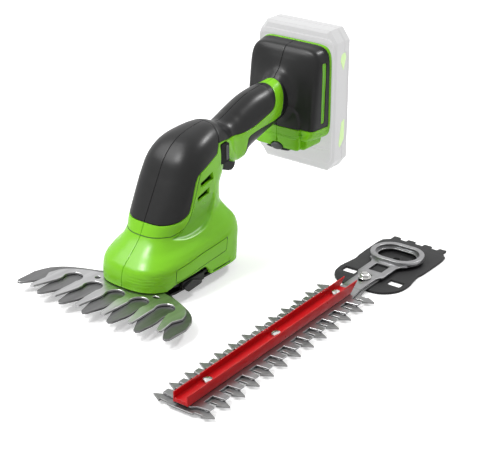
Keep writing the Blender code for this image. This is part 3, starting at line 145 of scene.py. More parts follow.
def through(values, steps):
    """Rows on a smooth curve through all the given ones, steps of them from each to the next."""
    values = np.array(values, float)
    padded = np.vstack([2 * values[0] - values[1], values, 2 * values[-1] - values[-2]])
    rows = []
    for i in range(len(values) - 1):
        a, b, c, d = padded[i : i + 4]
        for t in np.arange(steps) / steps:
            curve = 2 * b + (c - a) * t + (2 * a - 5 * b + 4 * c - d) * t**2 + (3 * b - a - 3 * c + d) * t**3
            rows.append(curve / 2)
    rows.append(values[-1])
    return np.array(rows)


def signed_power(value, exponent):
    return np.sign(value) * np.abs(value) ** exponent


def cross_section(station, count=RING_POINTS):
    """Evenly spaced points round a superellipse with its own fullness in front and behind."""
    front_y, front_z, rear_y, rear_z, half_width, front_curve, rear_curve, taper = station
    fine = 1440
    angle = 2 * math.pi * (np.arange(fine) + 0.5) / fine
    along, across = np.cos(angle), np.sin(angle)
    curve = np.where(along > 0, rear_curve, front_curve)
    along, across = signed_power(along, 2 / curve), signed_power(across, 2 / curve)
    width = half_width * (1 - taper * along)
    front, rear = np.array([front_y, front_z]), np.array([rear_y, rear_z])
    points = np.column_stack([width * across, (front + rear) / 2 + np.outer(along, (rear - front) / 2)])
    closed = np.vstack([points, points[:1]])
    run = np.concatenate([[0], np.cumsum(np.linalg.norm(np.diff(closed, axis=0), axis=1))])
    places = np.linspace(0, run[-1], count, endpoint=False)
    return np.column_stack([np.interp(places, run, closed[:, k]) for k in range(3)])


class Skin:
    """A triangle mesh with normals that can be cut exactly along the level lines of a function of place."""

    def __init__(self, points, normals, faces):
        self.points, self.normals, self.faces = points, normals, faces

    @classmethod
    def loft(cls, stations, steps=ROWS_PER_STATION, count=RING_POINTS):
        grid = np.array([cross_section(row, count) for row in through(stations, steps)])
        along = np.gradient(grid, axis=0)
        around = np.roll(grid, -1, axis=1) - np.roll(grid, 1, axis=1)
        normal = np.cross(along, around)
        outwards = grid - grid.mean(axis=1, keepdims=True)
        normal *= np.sign((normal * outwards).sum(axis=2, keepdims=True))
        rows = len(grid)
        i, k = np.meshgrid(np.arange(rows - 1), np.arange(count), indexing="ij")
        a, b = i * count + k, i * count + (k + 1) % count
        faces = np.vstack(
            [
                np.column_stack([a.ravel(), b.ravel(), (b + count).ravel()]),
                np.column_stack([a.ravel(), (b + count).ravel(), (a + count).ravel()]),
            ]
        )
        skin = cls(grid.reshape(-1, 3), unit(normal.reshape(-1, 3)), faces)
        corners = skin.points[faces]
        facing = np.cross(corners[:, 1] - corners[:, 0], corners[:, 2] - corners[:, 0])
        if (facing * skin.normals[faces[:, 0]]).sum() < 0:
            skin.faces = faces[:, ::-1]
        return skin

    def split(self, field, *levels):
        """Cuts the triangles along each level line of the field."""
        for level in levels:
            value = field(self.points) - level
            value[np.abs(value) < 2e-6] = 0.0
            side = np.sign(value)[self.faces]
            crossed = (side.min(axis=1) < 0) & (side.max(axis=1) > 0)
            if not crossed.any():
                continue
            kept, cut, sign = self.faces[~crossed], self.faces[crossed], side[crossed]
            alone = (sign == 0).any(axis=1)
            lead = np.where(
                alone,
                (sign == 0).argmax(axis=1),
                (sign != np.sign(sign.sum(axis=1))[:, None]).argmax(axis=1),
            )
            turned = cut[np.arange(len(cut))[:, None], (lead[:, None] + np.arange(3)) % 3]
            touching, others = turned[alone], turned[~alone]
            edges = np.vstack([touching[:, [1, 2]], others[:, [0, 1]], others[:, [0, 2]]])
            keys, index = np.unique(np.sort(edges, axis=1), axis=0, return_inverse=True)
            index = index.reshape(-1) + len(self.points)
            first, second = keys[:, 0], keys[:, 1]
            share = (value[first] / (value[first] - value[second]))[:, None]
            places = self.points[first] * (1 - share) + self.points[second] * share
            mixed = self.normals[first] * (1 - share) + self.normals[second] * share
            self.points = np.vstack([self.points, places])
            self.normals = np.vstack([self.normals, unit(mixed)])
            n, m = len(touching), len(others)
            p, q, r = index[:n], index[n : n + m], index[n + m :]
            self.faces = np.vstack(
                [
                    kept,
                    np.column_stack([touching[:, 0], touching[:, 1], p]),
                    np.column_stack([touching[:, 0], p, touching[:, 2]]),
                    np.column_stack([others[:, 0], q, r]),
                    np.column_stack([q, others[:, 1], others[:, 2]]),
                    np.column_stack([q, others[:, 2], r]),
                ]
            )
        return self

    def part(self, inside):
        """The piece whose triangles have their middles where inside(places) is true."""
        chosen = inside(self.points[self.faces].mean(axis=1))
        used, index = np.unique(self.faces[chosen], return_inverse=True)
        return Skin(self.points[used].copy(), self.normals[used].copy(), index.reshape(-1, 3))

    def shell(self, name, depth, thickness, materials, painted=None):
        """A closed shell: the skin sunk by depth(points), a copy under it and a strip along each edge."""
        outer = self.points - self.normals * depth(self.points)[:, None]
        inner = self.points - self.normals * (depth(self.points) * 0.3 + thickness)[:, None]
        count = len(outer)
        directed = np.vstack([self.faces[:, [0, 1]], self.faces[:, [1, 2]], self.faces[:, [2, 0]]])
        codes = directed[:, 0] * count + directed[:, 1]
        free = directed[~np.isin(directed[:, 1] * count + directed[:, 0], codes)]
        a, b = free[:, 0], free[:, 1]
        faces = [tuple(f) for f in self.faces]
        faces += [tuple(f) for f in self.faces[:, ::-1] + count]
        faces += [tuple(f) for f in np.column_stack([b, a, a + count, b + count])]
        mesh = bpy.data.meshes.new(name)
        mesh.from_pydata(np.vstack([outer, inner]).tolist(), [], faces)
        for made in materials:
            mesh.materials.append(made)
        if painted is not None:
            choice = np.zeros(len(faces), np.int32)
            choice[: len(self.faces)] = painted(self.points[self.faces].mean(axis=1))
            mesh.polygons.foreach_set("material_index", choice)
        return linked(name, mesh)


def unit(vectors):
    return vectors / (np.linalg.norm(vectors, axis=1, keepdims=True) + 1e-15)


def linked(name, mesh, angle=38):
    mesh.validate()
    mesh.shade_smooth()
    mesh.set_sharp_from_angle(angle=math.radians(angle))
    return placed(name, mesh)


def placed(name, data):
    """A new object in the scene."""
    obj = bpy.data.objects.new(name, data)
    bpy.context.scene.collection.objects.link(obj)
    return obj


# Fields: functions of place whose level lines are where a skin is cut


def distance_to(outline, axes=(1, 2)):
    """Distance from a closed outline in the plane of two axes, negative inside it."""
    outline = np.array(outline, float)
    starts, ends = outline, np.roll(outline, -1, axis=0)

    def field(points):
        places = points[:, axes]
        nearest = np.full(len(places), np.inf)
        inside = np.zeros(len(places), bool)
        for a, b in zip(starts, ends):
            run = b - a
            share = np.clip(((places - a) @ run) / (run @ run + 1e-18), 0, 1)
            gap = places - a - share[:, None] * run
            nearest = np.minimum(nearest, (gap**2).sum(axis=1))
            if a[1] != b[1]:
                height = (places[:, 1] - a[1]) / (b[1] - a[1])
                inside ^= (height >= 0) & (height < 1) & (places[:, 0] < a[0] + height * run[0])
        return np.where(inside, -1, 1) * np.sqrt(nearest)

    return field


def across(points):
    return points[:, 0]


def height(points):
    return points[:, 2]


def rounded_edge(distance, radius):
    """How far a surface falls away within radius of an edge."""
    inner = np.clip(1 - distance / radius, 0, 1)
    return radius * (1 - np.sqrt(np.clip(1 - inner**2, 0, 1)))


def groove(distance, half_width, depth):
    """A round-bottomed groove along distance 0."""
    return depth * np.sqrt(np.clip(1 - (distance / half_width) ** 2, 0, 1))


def smooth_path(points, steps=8):
    return [tuple(p) for p in through(points, steps)]


def rounded_polygon(points, radius, steps=5):
    """The polygon with each corner replaced by a small arc-like curve."""
    outline = []
    count = len(points)
    for i in range(count):
        before, here, after = (np.array(points[(i + k) % count], float) for k in (-1, 0, 1))
        into, out = before - here, after - here
        reach = min(radius, np.linalg.norm(into) / 2, np.linalg.norm(out) / 2)
        start = here + into / np.linalg.norm(into) * reach
        end = here + out / np.linalg.norm(out) * reach
        for t in np.linspace(0, 1, steps):
            outline.append(tuple((1 - t) ** 2 * start + 2 * t * (1 - t) * here + t**2 * end))
    return outline


# Materials


class Finish(NamedTuple):
    """A surface: its colour and roughness, how both vary, and its glow, which is painted light that makes a
    part that is no lamp shine.
    """

    colour: tuple
    roughness: float
    metallic: float = 0.0
    specular: float = 0.5
    coat: float = 0.0
    coat_roughness: float = 0.1
    tint: float = 0.05
    tint_scale: float = 35.0
    patchiness: float = 0.06
    grain_scale: float = 2600.0
    grain: float = 0.12
    stretch: tuple = (1.0, 1.0, 1.0)
    glow: float = 0.0


def make_material(name, finish):
    """Colour and roughness drift over the surface, under a fine grain."""
    material = bpy.data.materials.new(name)
    material.use_nodes = True
    material.diffuse_color = (*finish.colour, 1.0)
    nodes, links = material.node_tree.nodes, material.node_tree.links
    shader = nodes["Principled BSDF"]
    shader.inputs["Metallic"].default_value = finish.metallic
    shader.inputs["Specular IOR Level"].default_value = finish.specular
    shader.inputs["Coat Weight"].default_value = finish.coat
    shader.inputs["Coat Roughness"].default_value = finish.coat_roughness
    # The glow is painted light: emission on a part that is no lamp.
    shader.inputs["Emission Color"].default_value = (*finish.colour, 1.0)
    shader.inputs["Emission Strength"].default_value = finish.glow

    place = nodes.new("ShaderNodeTexCoord")
    mapping = nodes.new("ShaderNodeMapping")
    mapping.inputs["Scale"].default_value = finish.stretch
    links.new(place.outputs["Object"], mapping.inputs["Vector"])

    def noise(scale, detail):
        node = nodes.new("ShaderNodeTexNoise")
        node.inputs["Scale"].default_value = scale
        node.inputs["Detail"].default_value = detail
        node.inputs["Roughness"].default_value = 0.6
        links.new(mapping.outputs["Vector"], node.inputs["Vector"])
        return node.outputs["Fac"]

    ramp = nodes.new("ShaderNodeValToRGB")
    ramp.color_ramp.elements[0].position = 0.3
    ramp.color_ramp.elements[1].position = 0.7
    for element, factor in zip(ramp.color_ramp.elements, (1 - finish.tint, 1 + finish.tint)):
        element.color = (*(min(1.0, c * factor) for c in finish.colour), 1.0)
    links.new(noise(finish.tint_scale, 3.0), ramp.inputs["Fac"])
    links.new(ramp.outputs["Color"], shader.inputs["Base Color"])

    spread = nodes.new("ShaderNodeMapRange")
    spread.inputs["To Min"].default_value = max(0.02, finish.roughness - finish.patchiness)
    spread.inputs["To Max"].default_value = min(1.0, finish.roughness + finish.patchiness)
    links.new(noise(finish.tint_scale * 6, 4.0), spread.inputs["Value"])
    links.new(spread.outputs["Result"], shader.inputs["Roughness"])

    bump = nodes.new("ShaderNodeBump")
    bump.inputs["Strength"].default_value = finish.grain
    bump.inputs["Distance"].default_value = 0.00004
    links.new(noise(finish.grain_scale, 2.0), bump.inputs["Height"])
    links.new(bump.outputs["Normal"], shader.inputs["Normal"])
    return material


BRUSHED = (1.0, 0.06, 1.0)


def green(colour, roughness, **rest):
    return Finish(colour, roughness, specular=0.36, tint=0.02, **rest)


def black(colour, roughness, specular, grain, grain_scale=2600.0, tint=0.12):
    return Finish(colour, roughness, specular=specular, tint=tint, grain=grain, grain_scale=grain_scale)


def steel(colour, roughness, tint=0.10, tint_scale=300.0):
    return Finish(colour, roughness, 1.0, tint=tint, tint_scale=tint_scale)


def brushed(colour, roughness, tint=0.14):
    """Steel whose tint is drawn out along the blade, as by grinding."""
    return Finish(colour, roughness, 1.0, stretch=BRUSHED, tint=tint, tint_scale=260.0)


FINISHES = {
    "green_plastic": green((0.215, 0.60, 0.012), 0.25, grain=0.04, patchiness=0.03),
    # The next three greens are painted shade: in the grooves and slit, and further and further into the side
    # recess.
    "groove_painted_shade_green": Finish((0.045, 0.15, 0.012), 0.5),
    "recess_painted_shade_green": green((0.178, 0.52, 0.013), 0.28, grain=0.05),
    "deep_recess_painted_shade_green": green((0.155, 0.46, 0.008), 0.30, grain=0.05),
    "green_inlay": Finish((0.16, 0.55, 0.02), 0.3, tint=0.02),
    "black_rubber": black((0.010, 0.010, 0.0103), 0.33, 0.30, 0.30, 3200.0, tint=0.10),
    "black_plastic": black((0.012, 0.012, 0.0125), 0.36, 0.25, 0.35, 2200.0),
    "button_black": black((0.003, 0.003, 0.0033), 0.25, 0.12, 0.1),
    "lever_black": black((0.022, 0.022, 0.023), 0.33, 0.35, 0.3),
    # Grey that paints highlights on black plastic: the latch's knob and the lock-off button's strip.
    "grey_painted_highlight": Finish((0.075, 0.077, 0.085), 0.32, tint=0.10, grain=0.2),
    "plate_black": black((0.020, 0.020, 0.0205), 0.50, 0.22, 0.5, 1800.0, tint=0.14),
    # Both pale finishes glow: painted light that brightens the battery and its wedges.
    "pale_plastic": Finish((0.19, 0.19, 0.191), 0.42, specular=0.25, tint=0.012, grain=0.10, glow=2.55),
    "pale_green": Finish((0.36, 0.48, 0.24), 0.45, specular=0.3, tint=0.03, glow=1.1),
    "blade_dark": brushed((0.19, 0.19, 0.192), 0.34, 0.16),
    "blade_light": brushed((0.50, 0.50, 0.505), 0.30),
    "hedge_steel": brushed((0.27, 0.27, 0.27), 0.36),
    "hedge_steel_light": brushed((0.33, 0.33, 0.335), 0.30, 0.12),
    # A darker copy of the hedge steel that paints shade on the blades' left side.
    "hedge_steel_painted_shade_side": brushed((0.150, 0.155, 0.148), 0.36),
    "hedge_edge": steel((0.32, 0.32, 0.32), 0.32, tint_scale=400.0),
    "yoke_edge": steel((0.30, 0.30, 0.30), 0.32),
    # Darker steel that paints shade on the yoke's walls.
    "yoke_wall_painted_shade": steel((0.20, 0.20, 0.20), 0.35, 0.12),
    "blade_edge": steel((0.26, 0.26, 0.26), 0.34, tint_scale=400.0),
    # Dark steel that paints shade on the blades' walls.
    "blade_wall_painted_shade": steel((0.065, 0.065, 0.065), 0.45, 0.12, 35.0),
    "bright_steel": steel((0.72, 0.72, 0.70), 0.18),
    "gear_steel": steel((0.45, 0.44, 0.42), 0.35, 0.12),
    "red_paint": Finish((0.50, 0.003, 0.006), 0.30, specular=0.22, coat=0.05, tint=0.10, grain=0.08),
    "board": Finish((0.02, 0.16, 0.06), 0.35, tint=0.15, tint_scale=500.0),
}
LOOKS = {name: make_material(name, finish) for name, finish in FINISHES.items()}


# Pieces made from outlines


def made(name, mesh, materials, body, slot, *nodes):
    """Links a mesh, gives it its materials and ties it to its body and to the nodes that it stands for."""
    mesh.materials.clear()
    for material in materials:
        mesh.materials.append(LOOKS[material])
    return tied(linked(name, mesh, 32), body, slot, *nodes)


def tied(piece, body, slot, *nodes):
    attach(piece, body)
    if nodes:
        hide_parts(*nodes)
    return piece


def cleaned(mesh, merge=0.0, fill=False):
    """Merges the points that lie together, fills open ends where asked and turns every face outwards."""
    shape = bmesh.new()
    shape.from_mesh(mesh)
    if merge:
        bmesh.ops.remove_doubles(shape, verts=shape.verts, dist=merge)
    if fill:
        bmesh.ops.holes_fill(shape, edges=shape.edges)
    bmesh.ops.recalc_face_normals(shape, faces=shape.faces)
    shape.to_mesh(mesh)
    shape.free()
    return mesh


def evaluated(obj):
    """The object's final mesh."""
    graph = bpy.context.evaluated_depsgraph_get()
    graph.update()
    return bpy.data.meshes.new_from_object(obj.evaluated_get(graph))


def plate_mesh(outlines, low, high, ease, resolution=0):
    """A flat plate between two heights: the first outline less the others, with eased edges."""
    curve = bpy.data.curves.new("plate", "CURVE")
    curve.dimensions = "2D"
    curve.fill_mode = "BOTH"
    curve.extrude = (high - low) / 2 - ease
    curve.bevel_depth = ease
    curve.bevel_resolution = resolution
    curve.offset = -ease
    for outline in outlines:
        line = curve.splines.new("POLY")
        line.points.add(len(outline) - 1)
        for point, (x, y) in zip(line.points, outline):
            point.co = (x, y, 0.0, 1.0)
        line.use_cyclic_u = True
    holder = placed("plate", curve)
    mesh = evaluated(holder)
    bpy.data.objects.remove(holder)
    mesh.transform(Matrix.Translation((0, 0, (low + high) / 2)))
    return cleaned(mesh, 2e-6)


def painted_by_slope(mesh, shade_limit_x=None):
    """Flat faces keep the first material, eased edges get the second and the walls the third, which here is
    always a darker steel that paints shade on the walls.

    Flat faces to the left of the given x get the fourth, a darker copy of the flat material that paints
    shade on that side.
    """
    for face in mesh.polygons:
        steepness = abs(face.normal.z)
        if steepness < 0.3:
            face.material_index = 2
        elif steepness < 0.97:
            face.material_index = 1
        elif shade_limit_x is not None and face.center.x < shade_limit_x:
            face.material_index = 3
    return mesh


def upright(mesh):
    """Turns a plate made in X and Y so that its outline is in X and Z and its heights run along Y."""
    mesh.transform(Matrix(((1, 0, 0, 0), (0, 0, 1, 0), (0, 1, 0, 0), (0, 0, 0, 1))))
    mesh.flip_normals()
    return mesh


def sideways(mesh):
    """Turns a plate made in X and Y so that its outline is in Y and Z and its heights run along X."""
    mesh.transform(Matrix(((0, 0, 1, 0), (1, 0, 0, 0), (0, 1, 0, 0), (0, 0, 0, 1))))
    return mesh


def side_plate(outline, side, inner, outer, ease, resolution=0):
    """A sideways plate between two distances from the middle, on the given side."""
    low, high = sorted((side * inner, side * outer))
    return sideways(plate_mesh([outline], low, high, ease, resolution))


def lathe_mesh(profile, matrix=Matrix.Identity(4), count=40, closed=False):
    """A turned shape: (radius, height) points round the local Z axis, put in place by the matrix."""
    angles = [2 * math.pi * i / count for i in range(count)]
    points = [(r * math.cos(a), r * math.sin(a), h) for a in angles for r, h in profile]
    size = len(profile)
    faces = []
    for i in range(count):
        for k in range(size if closed else size - 1):
            a, b = i * size + k, i * size + (k + 1) % size
            c, d = (i + 1) % count * size + (k + 1) % size, (i + 1) % count * size + k
            faces.append((a, b, c, d))
    mesh = bpy.data.meshes.new("turned")
    mesh.from_pydata(points, [], faces)
    cleaned(mesh, 1e-6, fill=True).transform(matrix)
    return mesh


def cut_mesh(mesh, tool):
    """The mesh less the tool's mesh."""
    body, cutter = placed("cut", mesh), placed("cutter", tool)
    modifier = body.modifiers.new("cut", "BOOLEAN")
    modifier.solver = "EXACT"
    modifier.object = cutter
    result = evaluated(body)
    for obj in (body, cutter):
        bpy.data.objects.remove(obj)
    return result


def box_mesh(low, high):
    mesh = bpy.data.meshes.new("box")
    corners = [(x, y, z) for x in (low[0], high[0]) for y in (low[1], high[1]) for z in (low[2], high[2])]
    faces = [(0, 1, 3, 2), (4, 6, 7, 5), (0, 4, 5, 1), (2, 3, 7, 6), (0, 2, 6, 4), (1, 5, 7, 3)]
    mesh.from_pydata(corners, [], faces)
    return mesh


def round_edges(obj, width, angle):
    rounding = obj.modifiers.new("rounding", "BEVEL")
    rounding.width, rounding.segments, rounding.limit_method = width, 3, "ANGLE"
    rounding.angle_limit = math.radians(angle)
    return rounding


def arc(centre, radius, start, end, steps):
    """Points from start to end in degrees, both kept."""
    angles = [math.radians(start + (end - start) * i / steps) for i in range(steps + 1)]
    return [(centre[0] + radius * math.cos(a), centre[1] + radius * math.sin(a)) for a in angles]


def ring_points(centre, radius, count=32):
    return arc(centre, radius, 0, 360 * (1 - 1 / count), count - 1)


def flipped(outline, side=-1):
    """The outline on the given side, mirrored in X if that is the left one."""
    return [(side * x, y) for x, y in outline]


def mirrored(half):
    """An outline whose first half runs on one side, closed by its mirror image."""
    return half + [(-x, y) for x, y in reversed(half) if abs(x) > 1e-9]


def rectangle(low_u, low_v, high_u, high_v, corner=0.0, steps=5):
    corners = [(low_u, low_v), (high_u, low_v), (high_u, high_v), (low_u, high_v)]
    return rounded_polygon(corners, corner, steps) if corner else corners


# Where the black covers lie on the housing, as side views in (y, z)

TOP = 0.130
GRIP_BORDER = ((0.0320, 0.0968), (0.0530, TOP))
END_RING_REAR = ((HANDLE_END + 0.0008, TOP), (HANDLE_END - 0.0117, HOLDER_BORDER))
COVER_JOINT = 0.00036
COVER_GAP = 0.00022
HEAD_COVER = [
    (-0.070, 0.0560),
    (-0.0250, 0.0560),
    (-0.0134, 0.0579),
    (-0.0052, 0.0615),
    (-0.0023, 0.0671),
    (0.0023, 0.0805),
    (0.0048, 0.0856),
    (0.0085, 0.0888),
    (0.0180, 0.0922),
    *GRIP_BORDER,
    (-0.070, TOP),
]


def along_handle(share):
    return HANDLE_FRONT + share * HANDLE_LENGTH


def on_line(line, z):
    (first_y, first_z), (last_y, last_z) = line
    return first_y + (last_y - first_y) * (z - first_z) / (last_z - first_z)


def softened(outline, first, last, steps=6):
    """The outline with the corners from first to last replaced by a smooth curve through them."""
    return outline[:first] + smooth_path(outline[first : last + 1], steps) + outline[last + 1 :]


def grip_outline():
    start = [(on_line(GRIP_BORDER, z) + COVER_JOINT, z) for z in (TOP, 0.1038)]
    shares = [(0.165, 0.1002), (0.376, 0.1015), (0.556, 0.1051), (0.699, 0.1083), (0.763, 0.1131)]
    shares += [(0.814, 0.1197), (0.878, TOP)]
    outline = start + [(0.0450, 0.1033), (0.0560, 0.1017)]
    return softened(outline + [(along_handle(share), z) for share, z in shares], 2, 10)


def under_grip_outline():
    low, high = 0.0700, 0.0992
    rear = [(on_line(END_RING_REAR, z) - COVER_JOINT, z) for z in (low, high)]
    shares = [(0.779, 0.0980), (0.494, 0.0969), (0.322, 0.0954), (0.267, 0.0935), (0.233, 0.0831)]
    outline = [(along_handle(0.233), low)] + rear + [(along_handle(share), z) for share, z in shares]
    return softened(outline, 3, 6)


def holder_cover_outline():
    top, rim = HOLDER_TOP + 0.01, HOLDER_RIM - RIM_THICKNESS
    return [
        (END_RING_REAR[1][0], HOLDER_BORDER),
        (rim, HOLDER_BORDER),
        (rim, top),
        (on_line(END_RING_REAR, top), top),
    ]


HEAD_FIELD = distance_to(softened(HEAD_COVER, 1, 9))
GRIP_FIELD = distance_to(grip_outline())
UNDER_FIELD = distance_to(under_grip_outline())
HOLDER_FIELD = distance_to(holder_cover_outline())
COVER_FIELDS = (HEAD_FIELD, GRIP_FIELD, UNDER_FIELD, HOLDER_FIELD)


# Openings, grooves and hollows of the green housing


class Opening(NamedTuple):
    """A hole through the skin where the field is negative and the mask is true."""

    field: object
    mask: object


def both_sides(points):
    return np.abs(points[:, 0]) > 0.008


def right_side(points):
    return points[:, 0] > 0.005


def left_side(points):
    return points[:, 0] < -0.003


def everywhere(points):
    return points[:, 0] < 1.0


WINDOW = [
    (-0.0375, 0.004),
    (-0.0375, 0.0125),
    (-0.0301, 0.0160),
    (-0.0192, 0.0175),
    (0.0008, 0.0191),
    (0.0045, 0.0171),
    (0.0090, 0.0095),
    (0.0090, 0.004),
]
VENTS = (
    [(0.0090, 0.0773), (0.0252, 0.0797), (0.0240, 0.0856), (0.0083, 0.0816)],
    [(0.0060, 0.0674), (0.0206, 0.0696), (0.0200, 0.0749), (0.0053, 0.0712)],
)
LOCK_SLOT = rectangle(0.0377, 0.0857, 0.0483, 0.1021, 0.002)
TRIGGER_SLOT = distance_to(rectangle(0.0505, 0.064, 0.0728, 0.0880))
TRIGGER_SLOT_HALF = 0.0096
HOUSING_SCREWS = (
    (-0.0400, 0.0235, 0.0287),
    (0.0425, 0.0240, 0.03185),
    (0.0360, 0.0660, 0.0205),
    (0.0890, 0.0905, 0.01392),
    (0.1460, 0.0800, 0.03255),
)
SCREW_RECESS_RADIUS = 0.0031
SCREW_RECESS_DEPTH = 0.0045
SCREW_CUP_TOP = 0.0028
SCREW_CUP_WALL = 0.0008
SCREW_CUP_FLOOR = 0.0006
SCREW_HOLE_RADIUS = 0.0016


def trigger_slot_field(points):
    return np.maximum(np.abs(points[:, 0]) - TRIGGER_SLOT_HALF, TRIGGER_SLOT(points))


def circle_field(y, z, radius):
    return lambda points: np.hypot(points[:, 1] - y, points[:, 2] - z) - radius


OPENINGS = [Opening(distance_to(rounded_polygon(WINDOW, 0.0015)), both_sides)]
OPENINGS += [Opening(distance_to(rounded_polygon(vent, 0.0007)), both_sides) for vent in VENTS]
OPENINGS += [Opening(distance_to(LOCK_SLOT), right_side), Opening(trigger_slot_field, everywhere)]
SCREW_OPENINGS = [Opening(circle_field(y, z, SCREW_RECESS_RADIUS), left_side) for y, z, _ in HOUSING_SCREWS]

RING_LINE = [
    (-0.0330, 0.0468),
    (-0.0310, 0.0470),
    (-0.0281, 0.0475),
    (-0.0246, 0.0478),
    (-0.0199, 0.0481),
    (-0.0115, 0.0509),
    (-0.0061, 0.0552),
    (-0.0026, 0.0601),
    (0.0004, 0.0671),
    (0.0030, 0.0743),
    (0.0054, 0.0815),
    (0.0094, 0.0890),
]
CREST = [
    (-0.0226, 0.0451),
    (-0.0157, 0.0436),
    (-0.0081, 0.0426),
    (0.0015, 0.0430),
    (0.0109, 0.0446),
    (0.0169, 0.0472),
    (0.0233, 0.0506),
    (0.0262, 0.0556),
    (0.0287, 0.0628),
]
PANEL = [(-0.0303, 0.0169), (-0.0036, 0.0206), (0.0272, 0.0229)]
PANEL += [(0.0295, 0.0330), (-0.0023, 0.0309), (-0.0292, 0.0268)]
SLIT = [(0.0106, 0.0109), (0.0334, 0.0109), (0.0335, 0.0124), (0.0106, 0.0126)]
RING_FIELD = distance_to([*smooth_path(RING_LINE), (0.0094, TOP), (-0.070, TOP), (-0.070, 0.0468)])
CREST_FIELD = distance_to([*smooth_path(CREST), (0.0290, 0.0800), (0.0040, 0.0800), *RING_LINE[8:3:-1]])
PANEL_FIELD = distance_to(rounded_polygon(PANEL, 0.0006, 3))
SLIT_FIELD = distance_to(rounded_polygon(SLIT, 0.0007, 5))
LINE_HALF_WIDTH = 0.00028
PANEL_HALF_WIDTH = 0.00024
LINE_DEPTH = 0.0005
RECESS_DEPTH = 0.0023
RECESS_SLOPE = 0.0036
RECESS_TOP = 0.0760
RECESS_FADE = 0.024
RIB_LEVELS = (0.0250, 0.0228, 0.0204, 0.0180)
RIB_HALF_WIDTH = 0.0006
RIB_DEPTH = 0.00010
SLIT_DEPTH = 0.0011
SLIT_SLOPE = 0.0003


def smooth_step(value):
    value = np.clip(value, 0, 1)
    return value * value * (3 - 2 * value)


def ring_groove(points):
    shown = (points[:, 1] < 0.0094) & (points[:, 2] > 0.040)
    return groove(np.where(shown, RING_FIELD(points), 1.0), LINE_HALF_WIDTH, LINE_DEPTH)


def panel_groove(points):
    return groove(np.where(both_sides(points), PANEL_FIELD(points), 1.0), PANEL_HALF_WIDTH, LINE_DEPTH)


def slit_groove(points):
    inside = -np.where(both_sides(points), SLIT_FIELD(points), 1.0)
    return SLIT_DEPTH * smooth_step(inside / SLIT_SLOPE)


def side_recess(points):
    """The hollow in the tower's side below the crest, which runs out towards its top."""
    inside = -np.where(both_sides(points), CREST_FIELD(points), 1.0)
    fade = smooth_step((RECESS_TOP - points[:, 2]) / RECESS_FADE)
    return RECESS_DEPTH * smooth_step(inside / RECESS_SLOPE) * fade


def ribs(points):
    """Faint level grooves at the front of the base, on the right."""
    shown = smooth_step((-0.0300 - points[:, 1]) / 0.006) * smooth_step((points[:, 0] - 0.004) / 0.004)
    depth = np.zeros(len(points))
    for level in RIB_LEVELS:
        depth += groove(points[:, 2] - level, RIB_HALF_WIDTH, RIB_DEPTH)
    return depth * shown


def housing_hollows(points):
    return sum(hollow(points) for hollow in (ring_groove, panel_groove, slit_groove, side_recess, ribs))


def housing_paint(points):
    """1 in the drawn lines and in the slit, 2 and 3 further and further into the side recess; these darker
    greens paint the shade in the grooves and in the hollow.
    """
    lines = ring_groove(points) + panel_groove(points)
    paint = ((lines > LINE_DEPTH * 0.3) | (slit_groove(points) > SLIT_DEPTH * 0.5)).astype(np.int32)
    recess = side_recess(points)
    for level, look in ((0.25, 2), (0.6, 3)):
        paint[(recess > RECESS_DEPTH * level) & (paint != 1)] = look
    return paint


# Moulded shells

SEAM_ROUND = 0.00035
COVER_ROUND = 0.0007
GREEN_ROUND = 0.00035
OPENING_ROUND = 0.0004

# Distances from an edge at which the skin gets a row of corners
COVER_ROWS = (-0.0007, -0.0004, -0.00015, 0.0, COVER_GAP, 0.0004, 0.0006)
OPENING_ROWS = (0.0, 0.00015, OPENING_ROUND)
SEAM_ROWS = (-0.0005, -0.00025, -SEAM_HALF_GAP, SEAM_HALF_GAP, 0.00025, 0.0005)


def seam_fall(points):
    return rounded_edge(np.abs(points[:, 0]) - SEAM_HALF_GAP, SEAM_ROUND)


def opening_fall(points, openings):
    fall = np.zeros(len(points))
    for opening in openings:
        distance = np.where(opening.mask(points), opening.field(points), 1.0)
        fall = np.maximum(fall, rounded_edge(distance, OPENING_ROUND))
    return fall


def opened(points, openings):
    hole = np.zeros(len(points), bool)
    for opening in openings:
        hole |= opening.mask(points) & (opening.field(points) < 0)
    return hole


def prepared(skin, fields, openings):
    """The skin with rows of corners along every edge that will be cut or rounded."""
    for field in fields:
        skin.split(field, *COVER_ROWS)
    for opening in openings:
        skin.split(opening.field, *OPENING_ROWS)
    skin.split(across, *SEAM_ROWS)
    return skin


def cover(skin, field, name, body, nodes, side=0, openings=(), hollow=None):
    """A black cover: the skin inside the field, as one piece or on one side of the seam."""

    def inside(points):
        kept = (field(points) < 0) & ~opened(points, openings)
        return kept & (side * points[:, 0] > SEAM_HALF_GAP) if side else kept

    def depth(points):
        fall = np.maximum(rounded_edge(-field(points), COVER_ROUND), opening_fall(points, openings))
        if side:
            fall = np.maximum(fall, seam_fall(points))
        return fall + (hollow(points) if hollow else 0)

    materials = [LOOKS["black_rubber"]]
    piece = skin.part(inside).shell(name, depth, COVER_THICKNESS, materials)
    return tied(piece, body, "black_rubber", *nodes)


def green_shell(skin, fields, name, side, openings, hollow, node, paint=None):
    """The green housing: the skin outside the fields, on one side of the seam."""

    def uncovered(points):
        return np.min([field(points) for field in fields], axis=0) - COVER_GAP

    def inside(points):
        return (uncovered(points) > 0) & ~opened(points, openings) & (side * points[:, 0] > SEAM_HALF_GAP)

    def depth(points):
        fall = np.maximum(rounded_edge(uncovered(points), GREEN_ROUND), opening_fall(points, openings))
        return np.maximum(fall, seam_fall(points)) + hollow(points)

    # The last three greens are painted shade in the grooves, the slit and the side recess.
    materials = [LOOKS[look] for look in ("green_plastic", "groove_painted_shade_green", "recess_painted_shade_green", "deep_recess_painted_shade_green")]
    piece = skin.part(inside).shell(name, depth, SHELL_THICKNESS, materials, paint)
    return tied(piece, "tool", "green_plastic", node)


